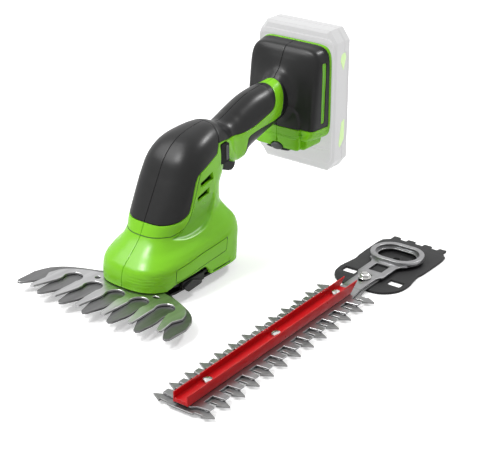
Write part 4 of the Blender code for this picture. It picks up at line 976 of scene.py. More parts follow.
SIDES = ((-1, "left"), (1, "right"))
GRIP_MARK = [(0.1165, 0.1400), (0.1150, 0.1262), (0.1128, 0.1180), (0.1000, 0.1160), (0.1000, 0.1400)]
GRIP_MARK_FIELD = distance_to(GRIP_MARK)
GRIP_MARK_HALF_WIDTH = 0.00025
GRIP_MARK_DEPTH = 0.00022


def grip_hollow(points):
    """The short line across the top of the grip."""
    shown = (points[:, 0] > -0.004) & (points[:, 0] < 0.011) & (points[:, 1] > 0.1110)
    return groove(np.where(shown, GRIP_MARK_FIELD(points), 1.0), GRIP_MARK_HALF_WIDTH, GRIP_MARK_DEPTH)


def build_body():
    openings = OPENINGS + SCREW_OPENINGS
    skin = prepared(Skin.loft(body_stations()), COVER_FIELDS, openings)
    for field, half_width in ((RING_FIELD, LINE_HALF_WIDTH), (PANEL_FIELD, PANEL_HALF_WIDTH)):
        skin.split(field, *(half_width * share for share in (-1, -0.5, 0, 0.5, 1)))
    skin.split(SLIT_FIELD, -SLIT_SLOPE, -SLIT_SLOPE / 2, 0.0)
    skin.split(CREST_FIELD, -RECESS_SLOPE, -0.0024, -0.0012, 0.0)
    skin.split(GRIP_MARK_FIELD, -GRIP_MARK_HALF_WIDTH, 0.0, GRIP_MARK_HALF_WIDTH)
    for level in RIB_LEVELS:
        skin.split(height, level - RIB_HALF_WIDTH, level, level + RIB_HALF_WIDTH)
    for side, word in SIDES:
        cover(skin, HEAD_FIELD, f"head_cap_{word}", "tool", [f"head_cover_{word}"], side)
        cover(skin, GRIP_FIELD, f"handle_grip_{word}", "tool", [f"grip_{word}"], side, (), grip_hollow)
        cover(skin, HOLDER_FIELD, f"neck_cover_{word}", "tool", [f"holder_cover_{word}"], side)
        name, node = f"body_shell_{word}", f"housing_{word}"
        green_shell(skin, COVER_FIELDS, name, side, openings, housing_hollows, node, housing_paint)
    cover(skin, UNDER_FIELD, "handle_underside", "tool", ["under_grip"], 0, SCREW_OPENINGS)
    for i, (y, z, surface) in enumerate(HOUSING_SCREWS):
        build_screw_recess(f"screw_recess_{i + 1}", y, z, surface)


def build_screw_recess(name, y, z, surface):
    """The cup round a screw's head in the left half: its wall and its floor with the screw's hole."""
    matrix = Matrix.Translation((0, y, z)) @ Matrix.Rotation(math.radians(-90), 4, "Y")
    top, bottom = surface - SCREW_CUP_TOP, surface - SCREW_RECESS_DEPTH
    floor = bottom + SCREW_CUP_FLOOR
    inner, outer, hole = SCREW_RECESS_RADIUS, SCREW_RECESS_RADIUS + SCREW_CUP_WALL, SCREW_HOLE_RADIUS
    profile = [(inner, top), (outer, top), (outer, bottom), (hole, bottom), (hole, floor), (inner, floor)]
    mesh = lathe_mesh(profile, matrix, 32, closed=True)
    made(name, mesh, ["green_plastic"], "tool", "green_plastic")


HOLDER_SLIT = [(0.1508, 0.0886), (0.1549, 0.0886), (0.1568, 0.1390), (0.1520, 0.1390)]
HOLDER_SLIT_FIELD = distance_to(rounded_polygon(HOLDER_SLIT, 0.0018, 7))
INLAY_GAP = 0.0002
INLAY_RIM = 0.0008
INLAY_THICKNESS = 0.0012
INLAY_ROUND = 0.0004
TROUGH_DEPTH = 0.0006
TROUGH_SLOPE = 0.0005
LOBE_FRONT_HALF_WIDTH = 0.0222
BULGE = [(LOBE_FRONT_HALF_WIDTH, 0.0600), (LOBE_FRONT_HALF_WIDTH, 0.0905)]
BULGE += [(0.0200, 0.0985), (0.0140, 0.1040), (0, 0.1065)]
BULGE_FIELD = distance_to(mirrored(BULGE), (0, 2))
BULGE_HEIGHT = 0.0016
BULGE_SLOPE = 0.0022


def bulge(points):
    """The swelling below the handle on the holder's front, where the lobe begins."""
    front = smooth_step((0.1470 - points[:, 1]) / 0.003)
    return -BULGE_HEIGHT * smooth_step(-BULGE_FIELD(points) / BULGE_SLOPE) * front


def build_holder():
    slit = Opening(HOLDER_SLIT_FIELD, both_sides)
    openings = [slit, SCREW_OPENINGS[4]]
    skin = Skin.loft(holder_stations(), HOLDER_ROWS_PER_STATION, HOLDER_RING_POINTS)
    skin = prepared(skin, (HOLDER_FIELD,), openings)
    skin.split(HOLDER_SLIT_FIELD, -INLAY_GAP, -0.0006, -0.0009, -0.0012, -0.0015)
    skin.split(BULGE_FIELD, -BULGE_SLOPE, -0.0015, -0.0008, 0.0)
    for side, word in SIDES:
        node = f"holder_cover_{word}"
        cover(skin, HOLDER_FIELD, f"battery_cover_{word}", "tool", [node], side, [slit], bulge)
        node = f"housing_{word}"
        green_shell(skin, (HOLDER_FIELD,), f"holder_shell_{word}", side, openings[1:], bulge, node)
        build_holder_slit(skin, side, word)
        build_lobe(side, word)


def build_holder_slit(skin, side, word):
    """The green inlay in the cover's side, with a shallow trough along its middle."""

    def inside(points):
        return (HOLDER_SLIT_FIELD(points) < -INLAY_GAP) & (side * points[:, 0] > 0.008)

    def depth(points):
        distance = -HOLDER_SLIT_FIELD(points)
        trough = smooth_step((distance - INLAY_RIM) / TROUGH_SLOPE)
        return 0.0001 + rounded_edge(distance - INLAY_GAP, INLAY_ROUND) + TROUGH_DEPTH * trough

    def paint(points):
        return (HOLDER_SLIT_FIELD(points) < -0.0011).astype(np.int32)

    materials = [LOOKS["green_plastic"], LOOKS["green_inlay"]]
    piece = skin.part(inside).shell(f"holder_inlay_{word}", depth, INLAY_THICKNESS, materials, paint)
    tied(piece, "tool", "green_plastic")


LOBE_HALF_WIDTH = 0.027
LOBE_BOTTOM = 0.066
LOBE_HALF_GAP = 0.00015
LATCH_HALF_WIDTH = 0.0115
LATCH_HALF_HEIGHT = 0.0030
LATCH_MIDDLE = 0.0665
LATCH_CLEARANCE = 0.0006
KNOB_HALF_WIDTH = 0.0056
KNOB_REACH = 0.0275
RAIL_REACH = 0.0250
RAIL_HALF_HEIGHT = 0.0013


def oval(half_width, half_height, middle, count=72):
    turns = [2 * math.pi * i / count for i in range(count)]
    return [(half_width * math.cos(a), middle + half_height * math.sin(a)) for a in turns]


def build_lobe(side, word):
    """Half of the green lobe under the holder and of its front, with their half of the latch's notch."""
    notch_top = LATCH_MIDDLE + LATCH_HALF_HEIGHT + LATCH_CLEARANCE
    notch = oval(KNOB_HALF_WIDTH + LATCH_CLEARANCE, LATCH_HALF_HEIGHT + LATCH_CLEARANCE, LATCH_MIDDLE, 96)
    notch = sorted((x, z) for x, z in notch if x > 0.0002 and z > LATCH_MIDDLE)
    width, front, low = LOBE_HALF_WIDTH, LOBE_FRONT_HALF_WIDTH, LOBE_BOTTOM
    notch = [(LOBE_HALF_GAP, notch_top), *notch, (notch[-1][0] + 0.0002, low)]
    corner = [(width - 0.006, low), (width - 0.0030, low + 0.0006), (width - 0.0009, low + 0.0026)]
    corner.append((width, low + 0.0060))
    front_corner = [(front - 0.0032, low), (front - 0.0010, low + 0.0008), (front, low + 0.0030)]
    pieces = (
        ("holder_lobe", corner, HOLDER_BOTTOM + 0.008, 0.0215, 0.0004, 0.0012, 3),
        ("holder_lobe_front", front_corner, HOLDER_BORDER - 0.0003, 0.0260, 0.0200, 0.0008, 2),
    )
    for name, curve, top, near, far, ease, resolution in pieces:
        outline = [*notch, *smooth_path(curve, 5), (curve[-1][0], top), (LOBE_HALF_GAP, top)]
        mesh = plate_mesh([flipped(outline, side)], HOLDER_RIM - near, HOLDER_RIM - far, ease, resolution)
        made(f"{name}_{word}", upright(mesh), ["green_plastic"], "tool", "green_plastic")


# Battery pack

PACK_HALF_WIDTH = 0.0382
PACK_TOP = 0.1625
PACK_BOTTOM = 0.0430
PACK_FRONT = 0.1637
PACK_REAR = 0.1945
PACK_CORNER = 0.0095
PACK_FRONT_EDGE = 0.0022
PACK_REAR_EDGE = 0.0105
PACK_GROOVE_DEPTH = 0.0007
POCKET_DEPTH = 0.0009
POCKET = [(0.1712, 0.0640), (0.1735, 0.0600), (0.1795, 0.0660), (0.1835, 0.0740)]
POCKET += [(0.1835, 0.1340), (0.1795, 0.1450), (0.1725, 0.1430), (0.1712, 0.1380)]
WEDGES = {
    "upper": [(0.1724, 0.1370), (0.1730, 0.1418), (0.1782, 0.1432), (0.1800, 0.1395), (0.1765, 0.1285)],
    "lower": [(0.1728, 0.0655), (0.1742, 0.0622), (0.1800, 0.0690), (0.1800, 0.0860), (0.1760, 0.0840)],
}


def pack_ring(inset):
    """The pack's eight-cornered outline from behind, drawn in by inset."""
    width, top, bottom = PACK_HALF_WIDTH - inset, PACK_TOP - inset, PACK_BOTTOM + inset
    corner = max(PACK_CORNER - inset * 0.3, 0.002)
    inner = width - corner * 0.75
    return mirrored([(inner, bottom), (width, bottom + corner), (width, top - corner), (inner, top)])


def pack_body():
    """The block with slanted edges and a groove round its middle."""
    middle = (PACK_FRONT + PACK_REAR) / 2
    levels = [
        (PACK_FRONT, PACK_FRONT_EDGE),
        (PACK_FRONT + PACK_FRONT_EDGE, 0.0),
        (middle - 0.0035, 0.0),
        (middle - 0.0030, PACK_GROOVE_DEPTH),
        (middle - 0.0022, PACK_GROOVE_DEPTH),
        (middle - 0.0017, 0.0),
        (PACK_REAR - 0.0110, 0.0),
        (PACK_REAR, PACK_REAR_EDGE),
    ]
    rings = [[(x, y, z) for x, z in pack_ring(inset)] for y, inset in levels]
    size = len(rings[0])
    points = [point for ring in rings for point in ring]
    faces = [tuple(range(size)), tuple(range(len(points) - size, len(points)))]
    for i in range(len(rings) - 1):
        for k in range(size):
            a, b = i * size + k, i * size + (k + 1) % size
            faces.append((a, b, b + size, a + size))
    mesh = bpy.data.meshes.new("pack")
    mesh.from_pydata(points, [], faces)
    return cleaned(mesh)


def build_pack():
    """The case, with the latch's well in its front and a pocket in each side."""
    well = rectangle(-0.0125, 0.0600, 0.0125, 0.0705, 0.002)
    well = upright(plate_mesh([well], PACK_FRONT - 0.004, PACK_FRONT + 0.0052, 0.0002))
    mesh = cut_mesh(pack_body(), well)
    pocket = rounded_polygon(POCKET, 0.002)
    for side, _ in SIDES:
        floor, outside = PACK_HALF_WIDTH - POCKET_DEPTH, PACK_HALF_WIDTH + 0.004
        mesh = cut_mesh(mesh, side_plate(pocket, side, floor, outside, 0.0002))
    pack = made("battery_case", mesh, ["pale_plastic"], "pack", "pale_plastic", "battery_pack")
    round_edges(pack, 0.0011, 25)
    build_pack_trim()


def build_pack_trim():
    """The lip round the holder, the tongue inside it and the coloured wedges in the side pockets."""
    wide, low, high = HOLDER_HALF_WIDTH, HOLDER_BOTTOM, HOLDER_TOP
    hole = rectangle(-wide - 0.0007, low - 0.0105, wide + 0.0007, high + 0.0007, 0.0065, 9)
    rim = rectangle(-wide - 0.0020, 0.0500, wide + 0.0020, high + 0.0052, 0.0085, 9)
    mesh = upright(plate_mesh([rim, hole], PACK_FRONT - 0.0016, PACK_FRONT + 0.0004, 0.0006, 2))
    made("battery_lip", mesh, ["pale_plastic"], "pack", "pale_plastic")
    tongue = rectangle(-0.024, 0.090, 0.024, 0.138, 0.003)
    mesh = upright(plate_mesh([tongue], PACK_FRONT - 0.0044, PACK_FRONT + 0.002, 0.0005, 2))
    made("battery_tongue", mesh, ["pale_plastic"], "pack", "pale_plastic")
    floor = PACK_HALF_WIDTH - POCKET_DEPTH
    for side, word in SIDES:
        for name, outline in WEDGES.items():
            outline = rounded_polygon(outline, 0.0006)
            mesh = side_plate(outline, side, floor - 0.0004, floor + 0.0004, 0.00015)
            made(f"battery_{name}_{word}", mesh, ["pale_green"], "pack", "pale_plastic")


def build_latch():
    """The catch's knob in the lobe's notch and its rail underneath."""
    outline = oval(KNOB_HALF_WIDTH, LATCH_HALF_HEIGHT, LATCH_MIDDLE)
    mesh = upright(plate_mesh([outline], PACK_FRONT - KNOB_REACH, PACK_FRONT + 0.0020, 0.0014, 4))
    # The knob is black plastic drawn in grey, a painted highlight on its lit face.
    made("latch_knob", mesh, ["grey_painted_highlight"], "latch", "black_plastic", "battery_latch")
    outline = oval(LATCH_HALF_WIDTH, RAIL_HALF_HEIGHT, LOBE_BOTTOM - 0.0015)
    mesh = upright(plate_mesh([outline], PACK_FRONT - RAIL_REACH, PACK_FRONT + 0.0015, 0.0005, 2))
    made("latch_rail", mesh, ["black_plastic"], "latch", "black_plastic", "battery_latch")


# Shear head

SHEAR_TEETH = 7
SHEAR_PITCH = 0.0243
SHEAR_TIP_Y = -0.0948
SHEAR_TIP_BOW = 0.447
SHEAR_FAN_RADIUS = 0.236
SHEAR_PIVOT = (0.0, -0.0127)
SHEAR_REST_TURN = math.radians(2.2)
DRIVE_AXIS_Y = 0.016
ECCENTRIC_THROW = 0.004
RING_OUTER = 0.0159
RING_INNER = 0.0119
LOWER_BLADE = (0.0080, 0.0098)
UPPER_BLADE = (0.0101, 0.0119)
SHEAR_EASE = 0.00022
SHEAR_PIVOT_HOLE = 0.0043
PLUG_PLACE = (0.028, -0.0495)
PLUG_SLOT_HALF = 0.0012


class Comb(NamedTuple):
    """The toothed edge of a fan blade. Its tips lie reach in front of the lower blade's."""

    teeth: int
    reach: float
    tip_half: float
    belly_half: float
    belly_back: float
    fullness: float
    wrap: float
    root_back: float
    root_radius: float


LOWER_COMB = Comb(
    teeth=SHEAR_TEETH,
    reach=0.0,
    tip_half=0.0026,
    belly_half=0.0070,
    belly_back=0.0185,
    fullness=0.90,
    wrap=10,
    root_back=0.0250,
    root_radius=0.0046,
)
UPPER_COMB = Comb(
    teeth=SHEAR_TEETH - 1,
    reach=0.0028,
    tip_half=0.0020,
    belly_half=0.0043,
    belly_back=0.0215,
    fullness=0.86,
    wrap=30,
    root_back=0.0290,
    root_radius=0.0075,
)


def tip_y(x, reach):
    """Height of the bow through the tooth tips, reach in front of the lower blade's middle tip."""
    return SHEAR_TIP_Y + reach + SHEAR_TIP_BOW - math.sqrt(SHEAR_TIP_BOW**2 - x**2)


def tooth_points(x, comb):
    """Left belly, blunt tip and right belly of one tooth that leans away from the middle."""
    lean = math.atan(x / SHEAR_FAN_RADIUS)
    back = np.array([-math.sin(lean), math.cos(lean)])
    right = np.array([math.cos(lean), math.sin(lean)])
    tip = np.array([x, tip_y(x, comb.reach)])
    half, full = comb.belly_half, comb.fullness
    belly = [(-half, comb.belly_back), (-half * full, comb.belly_back * 0.72), (-comb.tip_half, 0.0018)]
    shape = [*belly, (0.0, 0.0), *((-u, v) for u, v in reversed(belly))]
    return [tuple(tip + right * u + back * v) for u, v in shape]


def gullet_points(x, comb):
    """The round root between two teeth, from its left end over the back to its right end."""
    centre = (x * 0.905, tip_y(x, comb.reach) + comb.root_back + 0.4 * x * x)
    return arc(centre, comb.root_radius, 180 + comb.wrap, -comb.wrap, 40)


def comb_front(comb):
    """The toothed edge from the left outer tooth's tip to the right one's."""
    outline = []
    for i in range(comb.teeth):
        x = (i - (comb.teeth - 1) / 2) * SHEAR_PITCH
        outline += tooth_points(x, comb)
        if i < comb.teeth - 1:
            outline += gullet_points(x + SHEAR_PITCH / 2, comb)
    return outline[1:-1]


def stadium(centre, half_length, radius, angle, steps=14):
    """A slot's outline, long along the angle."""
    x = half_length * math.cos(math.radians(angle))
    y = half_length * math.sin(math.radians(angle))
    ends = arc((centre[0] + x, centre[1] + y), radius, angle - 90, angle + 90, steps)
    return ends + arc((centre[0] - x, centre[1] - y), radius, angle + 90, angle + 270, steps)


def build_lower_shear_blade():
    back = [
        (0.0752, -0.0690),
        (0.0715, -0.0590),
        (0.0665, -0.0525),
        (0.0590, -0.0470),
        (0.0480, -0.0420),
        (0.0350, -0.0370),
        (0.0260, -0.0310),
        (0.0240, -0.0220),
        (0.0240, 0.0000),
        (0.0120, 0.0060),
    ]
    outline = comb_front(LOWER_COMB) + mirrored(smooth_path(back, 5))
    hole = ring_points(SHEAR_PIVOT, SHEAR_PIVOT_HOLE)
    mesh = painted_by_slope(plate_mesh([outline, hole], *LOWER_BLADE, SHEAR_EASE))
    looks = ["blade_dark", "blade_edge", "blade_wall_painted_shade"]
    made("shear_fixed_blade", mesh, looks, "tool", "blade_steel", "shear_lower_blade")


def build_upper_shear_blade():
    """The moving fan with the drive's oblong window at its back, and the two plugs in its face."""
    front_eye, rear_eye = DRIVE_AXIS_Y - ECCENTRIC_THROW, DRIVE_AXIS_Y + ECCENTRIC_THROW
    half = [
        (0.0640, -0.0640),
        (0.0600, -0.0550),
        (0.0530, -0.0490),
        (0.0420, -0.0440),
        (0.0280, -0.0400),
        (0.0180, -0.0320),
        (0.0150, -0.0200),
        (0.0110, -0.0080),
        (0.0125, -0.0020),
        (RING_OUTER, front_eye),
    ]
    half = smooth_path(half, 5) + arc((0.0, rear_eye), RING_OUTER, 0, 88, 20)
    window = arc((0.0, rear_eye), RING_INNER, 0, 180, 24) + arc((0.0, front_eye), RING_INNER, 180, 360, 24)
    x, y = PLUG_PLACE
    holes = [window, ring_points(SHEAR_PIVOT, SHEAR_PIVOT_HOLE), ring_points((-x, y), 0.0022)]
    holes.append(stadium((x, y), PLUG_SLOT_HALF, 0.0016, 0))
    mesh = plate_mesh([comb_front(UPPER_COMB) + mirrored(half), *holes], *UPPER_BLADE, SHEAR_EASE)
    turn = Matrix.Translation((*SHEAR_PIVOT, 0)) @ Matrix.Rotation(SHEAR_REST_TURN, 4, "Z")
    turn = turn @ Matrix.Translation((-SHEAR_PIVOT[0], -SHEAR_PIVOT[1], 0))
    painted_by_slope(mesh).transform(turn)
    looks = ["blade_light", "blade_edge", "blade_wall_painted_shade"]
    made("shear_moving_blade", mesh, looks, "shear_blade", "blade_steel", "shear_upper_blade")
    plugs = {"left": ring_points((-x, y), 0.0021), "right": stadium((x, y), PLUG_SLOT_HALF, 0.0015, 0)}
    for word, outline in plugs.items():
        mesh = plate_mesh([outline], UPPER_BLADE[0] + 0.0001, UPPER_BLADE[1] - 0.0003, 0.0001)
        mesh.transform(turn)
        made(f"shear_blade_plug_{word}", mesh, ["black_plastic"], "shear_blade", "black_plastic")


# Hedge head, in its own frame

HEDGE_TURN = math.radians(1.5)
HEDGE_FRAME = Matrix.Translation((0.1308, -0.1376, 0)) @ Matrix.Rotation(HEDGE_TURN, 4, "Z")
HEDGE_TEETH = 13
HEDGE_PITCH = 0.016
HEDGE_TIP = 0.0252
HEDGE_BARB = 0.017
HEDGE_BARB_SPREAD = 0.0043
HEDGE_NECK = 0.0025
HEDGE_SPINE = 0.0105
HEDGE_NOSE = 0.0035
MOVING_TIP = 0.019
MOVING_ROOT = 0.010
MOVING_OFFSET = 0.005
CHANNEL_HALF_WIDTH = 0.006
FLANGE_SHEET = 0.0010
CHANNEL_FLOOR = 0.0089
CHANNEL_START = -0.0032
CHANNEL_END = (HEDGE_TEETH - 1) * HEDGE_PITCH + 0.007
CHANNEL_LOW = 0.0059
CHANNEL_TOP = 0.0134
SCREW_PLACES = (0.0253, 0.1021, 0.1783)
SCREW_RADIUS = 0.0020
MOVING_BLADE_END = CHANNEL_END + 0.001
FIXED_BLADE_END = CHANNEL_END + 0.028
GUIDE_BOLT_Y = FIXED_BLADE_END - 0.0075
YOKE_SHOULDER = FIXED_BLADE_END + 0.023
YOKE_CENTRE = YOKE_SHOULDER + 0.018
HEDGE_PLATE_END = YOKE_CENTRE + 0.037
YOKE_HALF_ACROSS = 0.021
YOKE_HALF_ALONG = 0.0163
YOKE_WALL = 0.004
YOKE_HEIGHT = 0.004
COLLAR_RADIUS = 0.0138
COLLAR_BOTTOM = 0.0022
HEDGE_BLADE = (0.0023, 0.0038)
MOVING_BLADE = (0.0041, 0.0056)
HEDGE_EASE = 0.00016
SLOT_HALF_LENGTH = 0.0044
WASHER_TOP = 0.0008
HEAD_EYE = (0.0, YOKE_CENTRE - 0.001)
HEAD_EYE_RADIUS = 0.0028


def hedge_tooth(along, side):
    """Arrow-head tooth of the fixed blade, in the order of the blade's outline."""
    shape = [
        (HEDGE_SPINE, -HEDGE_NECK - 0.0018),
        (HEDGE_SPINE + 0.0008, -HEDGE_NECK - 0.0003),
        (HEDGE_BARB, -HEDGE_NECK),
        (HEDGE_BARB, -HEDGE_BARB_SPREAD),
        (HEDGE_TIP, 0.0),
        (HEDGE_BARB, HEDGE_BARB_SPREAD),
        (HEDGE_BARB, HEDGE_NECK),
        (HEDGE_SPINE + 0.0008, HEDGE_NECK + 0.0003),
        (HEDGE_SPINE, HEDGE_NECK + 0.0018),
    ]
    return [(side * x, along + y) for x, y in shape]


def moving_tooth(along, side):
    shape = [(MOVING_ROOT, -0.0036), (MOVING_TIP, -0.0026), (MOVING_TIP, 0.0026), (MOVING_ROOT, 0.0036)]
    return [(side * x, along + y) for x, y in shape]


def comb(tooth, teeth, offset):
    """Right side front to back, then the left side back to front."""
    right, left = [], []
    for i in range(teeth):
        right += tooth(i * HEDGE_PITCH + offset, 1)
        left += reversed(tooth((teeth - 1 - i) * HEDGE_PITCH + offset, -1))
    return right, left


def hedge_piece(name, mesh, looks, body, slot, *nodes):
    mesh.transform(HEDGE_FRAME)
    return made(name, mesh, looks, body, slot, *nodes)


def screw_holes():
    return [ring_points((0.0, along), SCREW_RADIUS + 0.0003) for along in SCREW_PLACES]


def build_hedge_blades():
    right, left = comb(hedge_tooth, HEDGE_TEETH, 0.0)
    nose = [(-0.0085, -HEDGE_NOSE - 0.0012), (0.0085, -HEDGE_NOSE - 0.0012)]
    tail = mirrored([(0.0090, CHANNEL_END + 0.006), (0.0090, FIXED_BLADE_END)])
    holes = [*screw_holes(), ring_points((0.0, GUIDE_BOLT_Y), 0.0028)]
    mesh = plate_mesh([nose + right + tail + left, *holes], *HEDGE_BLADE, HEDGE_EASE)
    looks = ["hedge_steel", "hedge_edge", "blade_wall_painted_shade", "hedge_steel_painted_shade_side"]
    mesh = painted_by_slope(mesh, 0)
    hedge_piece("hedge_fixed_blade", mesh, looks, "tool", "blade_steel", "hedge_lower_blade")

    right, left = comb(moving_tooth, HEDGE_TEETH - 1, MOVING_OFFSET)
    nose = [(-0.0070, MOVING_OFFSET - 0.0060), (0.0070, MOVING_OFFSET - 0.0060)]
    tail = [(0.0078, MOVING_BLADE_END), (-0.0078, MOVING_BLADE_END)]
    slots = [stadium((0.0, along), SLOT_HALF_LENGTH, 0.0024, 90) for along in SCREW_PLACES]
    mesh = plate_mesh([nose + right + tail + left, *slots], *MOVING_BLADE, HEDGE_EASE)
    looks = ["hedge_steel_light", "hedge_edge", "blade_wall_painted_shade", "hedge_steel_painted_shade_side"]
    mesh = painted_by_slope(mesh, -CHANNEL_HALF_WIDTH)
    hedge_piece("hedge_cutter", mesh, looks, "hedge_drive", "blade_steel", "hedge_moving_blade")


def build_channel():
    """The red channel: a floor with the screws' holes and two slanted flanges, the left one notched."""
    wide = CHANNEL_HALF_WIDTH
    floor = rectangle(-wide + 0.0006, CHANNEL_START + 0.0002, wide - 0.0006, CHANNEL_END - 0.0080)
    mesh = plate_mesh([floor, *screw_holes()], CHANNEL_LOW, CHANNEL_FLOOR, 0.0002)
    hedge_piece("channel_floor", mesh, ["red_paint"], "tool", "red_paint", "hedge_channel")
    low, top = CHANNEL_LOW, CHANNEL_TOP
    for side, word in SIDES:
        outline = [(CHANNEL_START, low), (CHANNEL_END - 0.0090, low), (CHANNEL_END, top)]
        if side < 0:
            for along in reversed(SCREW_PLACES):
                mark = along - 0.002
                outline += [(mark + 0.0010, top), (mark + 0.0006, top - 0.0007)]
                outline += [(mark - 0.0006, top - 0.0007), (mark - 0.0010, top)]
        outline.append((CHANNEL_START, top))
        mesh = side_plate(outline, side, wide, wide - FLANGE_SHEET, 0.0003, 2)
        hedge_piece(f"channel_flange_{word}", mesh, ["red_paint"], "tool", "red_paint", "hedge_channel")


def slotted_head(radius, height, bottom):
    """A pan head with a screwdriver slot, and its shank down to bottom."""
    profile = [
        (0.0, height),
        (radius * 0.55, height * 0.97),
        (radius * 0.85, height * 0.80),
        (radius * 0.97, height * 0.55),
        (radius, height * 0.20),
        (radius, 0.0),
        (SCREW_RADIUS, 0.0),
        (SCREW_RADIUS, bottom),
        (0.0, bottom),
    ]
    long, half = radius * 1.3, radius * 0.14
    slot = box_mesh((-long, -half, height * 0.45), (long, half, height * 2))
    return cut_mesh(lathe_mesh(profile), slot)


def build_hedge_fasteners():
    looks = ["bright_steel"]
    for i, along in enumerate(SCREW_PLACES):
        mesh = slotted_head(SCREW_RADIUS * 1.8, 0.0024, -0.0060)
        place = Matrix.Translation((0.0, along, CHANNEL_FLOOR + 0.0002))
        mesh.transform(place @ Matrix.Rotation(math.radians(25 + 50 * i), 4, "Z"))
        hedge_piece(f"channel_screw_{i + 1}", mesh, looks, "tool", "bright_steel", f"hedge_screw_{i + 1}")
    washer = [(0.0027, 0.0), (0.0046, 0.0), (0.0048, 0.0002)]
    washer += [(0.0048, 0.0006), (0.0046, WASHER_TOP), (0.0027, WASHER_TOP)]
    place = Matrix.Translation((0, GUIDE_BOLT_Y, MOVING_BLADE[1] + 0.0003))
    mesh = lathe_mesh(washer, place, 48, closed=True)
    hedge_piece("guide_washer", mesh, looks, "tool", "bright_steel")
    profile = [(0.0, 0.0034), (0.0030, 0.0034), (0.0037, 0.0031), (0.0041, 0.0027), (0.0041, WASHER_TOP)]
    profile += [(0.0025, WASHER_TOP), (0.0025, -0.0058), (0.0, -0.0058)]
    slot = box_mesh((-0.006, -0.0005, 0.0022), (0.006, 0.0005, 0.006))
    mesh = cut_mesh(lathe_mesh(profile, count=6), slot)
    mesh.transform(place @ Matrix.Rotation(math.radians(35), 4, "Z"))
    hedge_piece("guide_bolt", mesh, looks, "tool", "bright_steel", "hedge_guide_bolt")


def oblong_ring(reach, outer, inner):
    """The two outlines of a flat-sided ring round the yoke's middle."""
    return [
        arc((reach, YOKE_CENTRE), radius, -90, 90, 28) + arc((-reach, YOKE_CENTRE), radius, 90, 270, 28)
        for radius in (outer, inner)
    ]


def build_yoke():
    """The oblong ring with its inner lip, the arms that hold the moving blade and the black collar below."""
    low, top = MOVING_BLADE
    reach = YOKE_HALF_ACROSS - YOKE_HALF_ALONG + 0.0009
    wall_inner = YOKE_HALF_ALONG - YOKE_WALL
    looks = ["hedge_steel_light", "yoke_edge", "yoke_wall_painted_shade"]

    def steel_part(name, outlines, part_top, resolution):
        mesh = painted_by_slope(plate_mesh(outlines, low, part_top, 0.0003, resolution))
        hedge_piece(name, mesh, looks, "hedge_drive", "blade_steel", "hedge_yoke")

    steel_part("yoke_ring", oblong_ring(reach, YOKE_HALF_ALONG, wall_inner), low + YOKE_HEIGHT, 2)
    steel_part("yoke_lip", oblong_ring(reach, wall_inner + 0.001, wall_inner - 0.002), low + 0.0012, 2)
    half = [
        (0.0078, MOVING_BLADE_END + 0.0003),
        (0.0080, FIXED_BLADE_END - 0.0040),
        (0.0095, FIXED_BLADE_END - 0.0015),
        (0.0113, FIXED_BLADE_END + 0.0010),
        (0.0113, YOKE_SHOULDER - 0.0030),
        (0.0130, YOKE_SHOULDER + 0.0010),
        (0.0170, YOKE_SHOULDER + 0.0045),
        (0.0150, YOKE_CENTRE - 0.0118),
        (0.0060, YOKE_CENTRE - 0.0128),
    ]
    window = rectangle(-0.0058, FIXED_BLADE_END + 0.007, 0.0058, YOKE_SHOULDER - 0.003, 0.001)
    slot = stadium((0.0, GUIDE_BOLT_Y), SLOT_HALF_LENGTH, 0.0029, 90)
    steel_part("yoke_arms", [mirrored(half), window, slot], top, 1)
    collar = oblong_ring(reach - 0.0005, COLLAR_RADIUS, wall_inner - 0.0005)
    mesh = plate_mesh(collar, COLLAR_BOTTOM, low, 0.0002)
    hedge_piece("yoke_underside", mesh, ["black_plastic"], "hedge_drive", "black_plastic", "hedge_yoke")


def head_plate_outline(last_y):
    """The head's base plate, from its front lobe back to its tabs, which end at last_y."""
    curve = [
        (0.0000, last_y - 0.0960),
        (0.0150, last_y - 0.0950),
        (0.0225, last_y - 0.0910),
        (0.0280, last_y - 0.0840),
        (0.0300, last_y - 0.0760),
        (0.0300, last_y - 0.0690),
        (0.0288, last_y - 0.0610),
        (0.0280, last_y - 0.0530),
        (0.0290, last_y - 0.0450),
        (0.0295, last_y - 0.0200),
        (0.0285, last_y - 0.0110),
    ]
    tabs = [
        (0.0238, last_y - 0.0065),
        (0.0238, last_y),
        (0.0178, last_y),
        (0.0170, last_y - 0.0035),
        (0.0112, last_y - 0.0035),
        (0.0108, last_y),
        (0.0042, last_y),
        (0.0036, last_y - 0.0035),
        (0.0000, last_y - 0.0035),
    ]
    return mirrored(smooth_path(curve, 6) + tabs)


def build_hedge_plate():
    """The black plate under the yoke with its two windows, the eyelet on it and the spacer in front."""
    last_y = HEDGE_PLATE_END
    window = rectangle(0.0142, last_y - 0.0783, 0.0260, last_y - 0.0702, 0.0006)
    eye = ring_points(HEAD_EYE, HEAD_EYE_RADIUS)
    holes = [window, flipped(window), eye, ring_points((0.0, GUIDE_BOLT_Y), 0.0028)]
    mesh = plate_mesh([head_plate_outline(last_y), *holes], 0.0, 0.002, 0.00035, 2)
    hedge_piece("head_plate", mesh, ["plate_black"], "tool", "black_plastic", "hedge_base_plate")
    mesh = plate_mesh([ring_points(HEAD_EYE, 0.0042), eye], 0.0018, 0.0026, 0.0003, 1)
    hedge_piece("plate_eyelet", mesh, ["plate_black"], "tool", "black_plastic")
    outline = rectangle(-0.0105, FIXED_BLADE_END + 0.0003, 0.0105, YOKE_SHOULDER, 0.002)
    mesh = plate_mesh([outline], *HEDGE_BLADE, 0.0002)
    hedge_piece("head_spacer", mesh, ["plate_black"], "tool", "black_plastic", "hedge_spacer")


# Controls and what is carried over from the parts

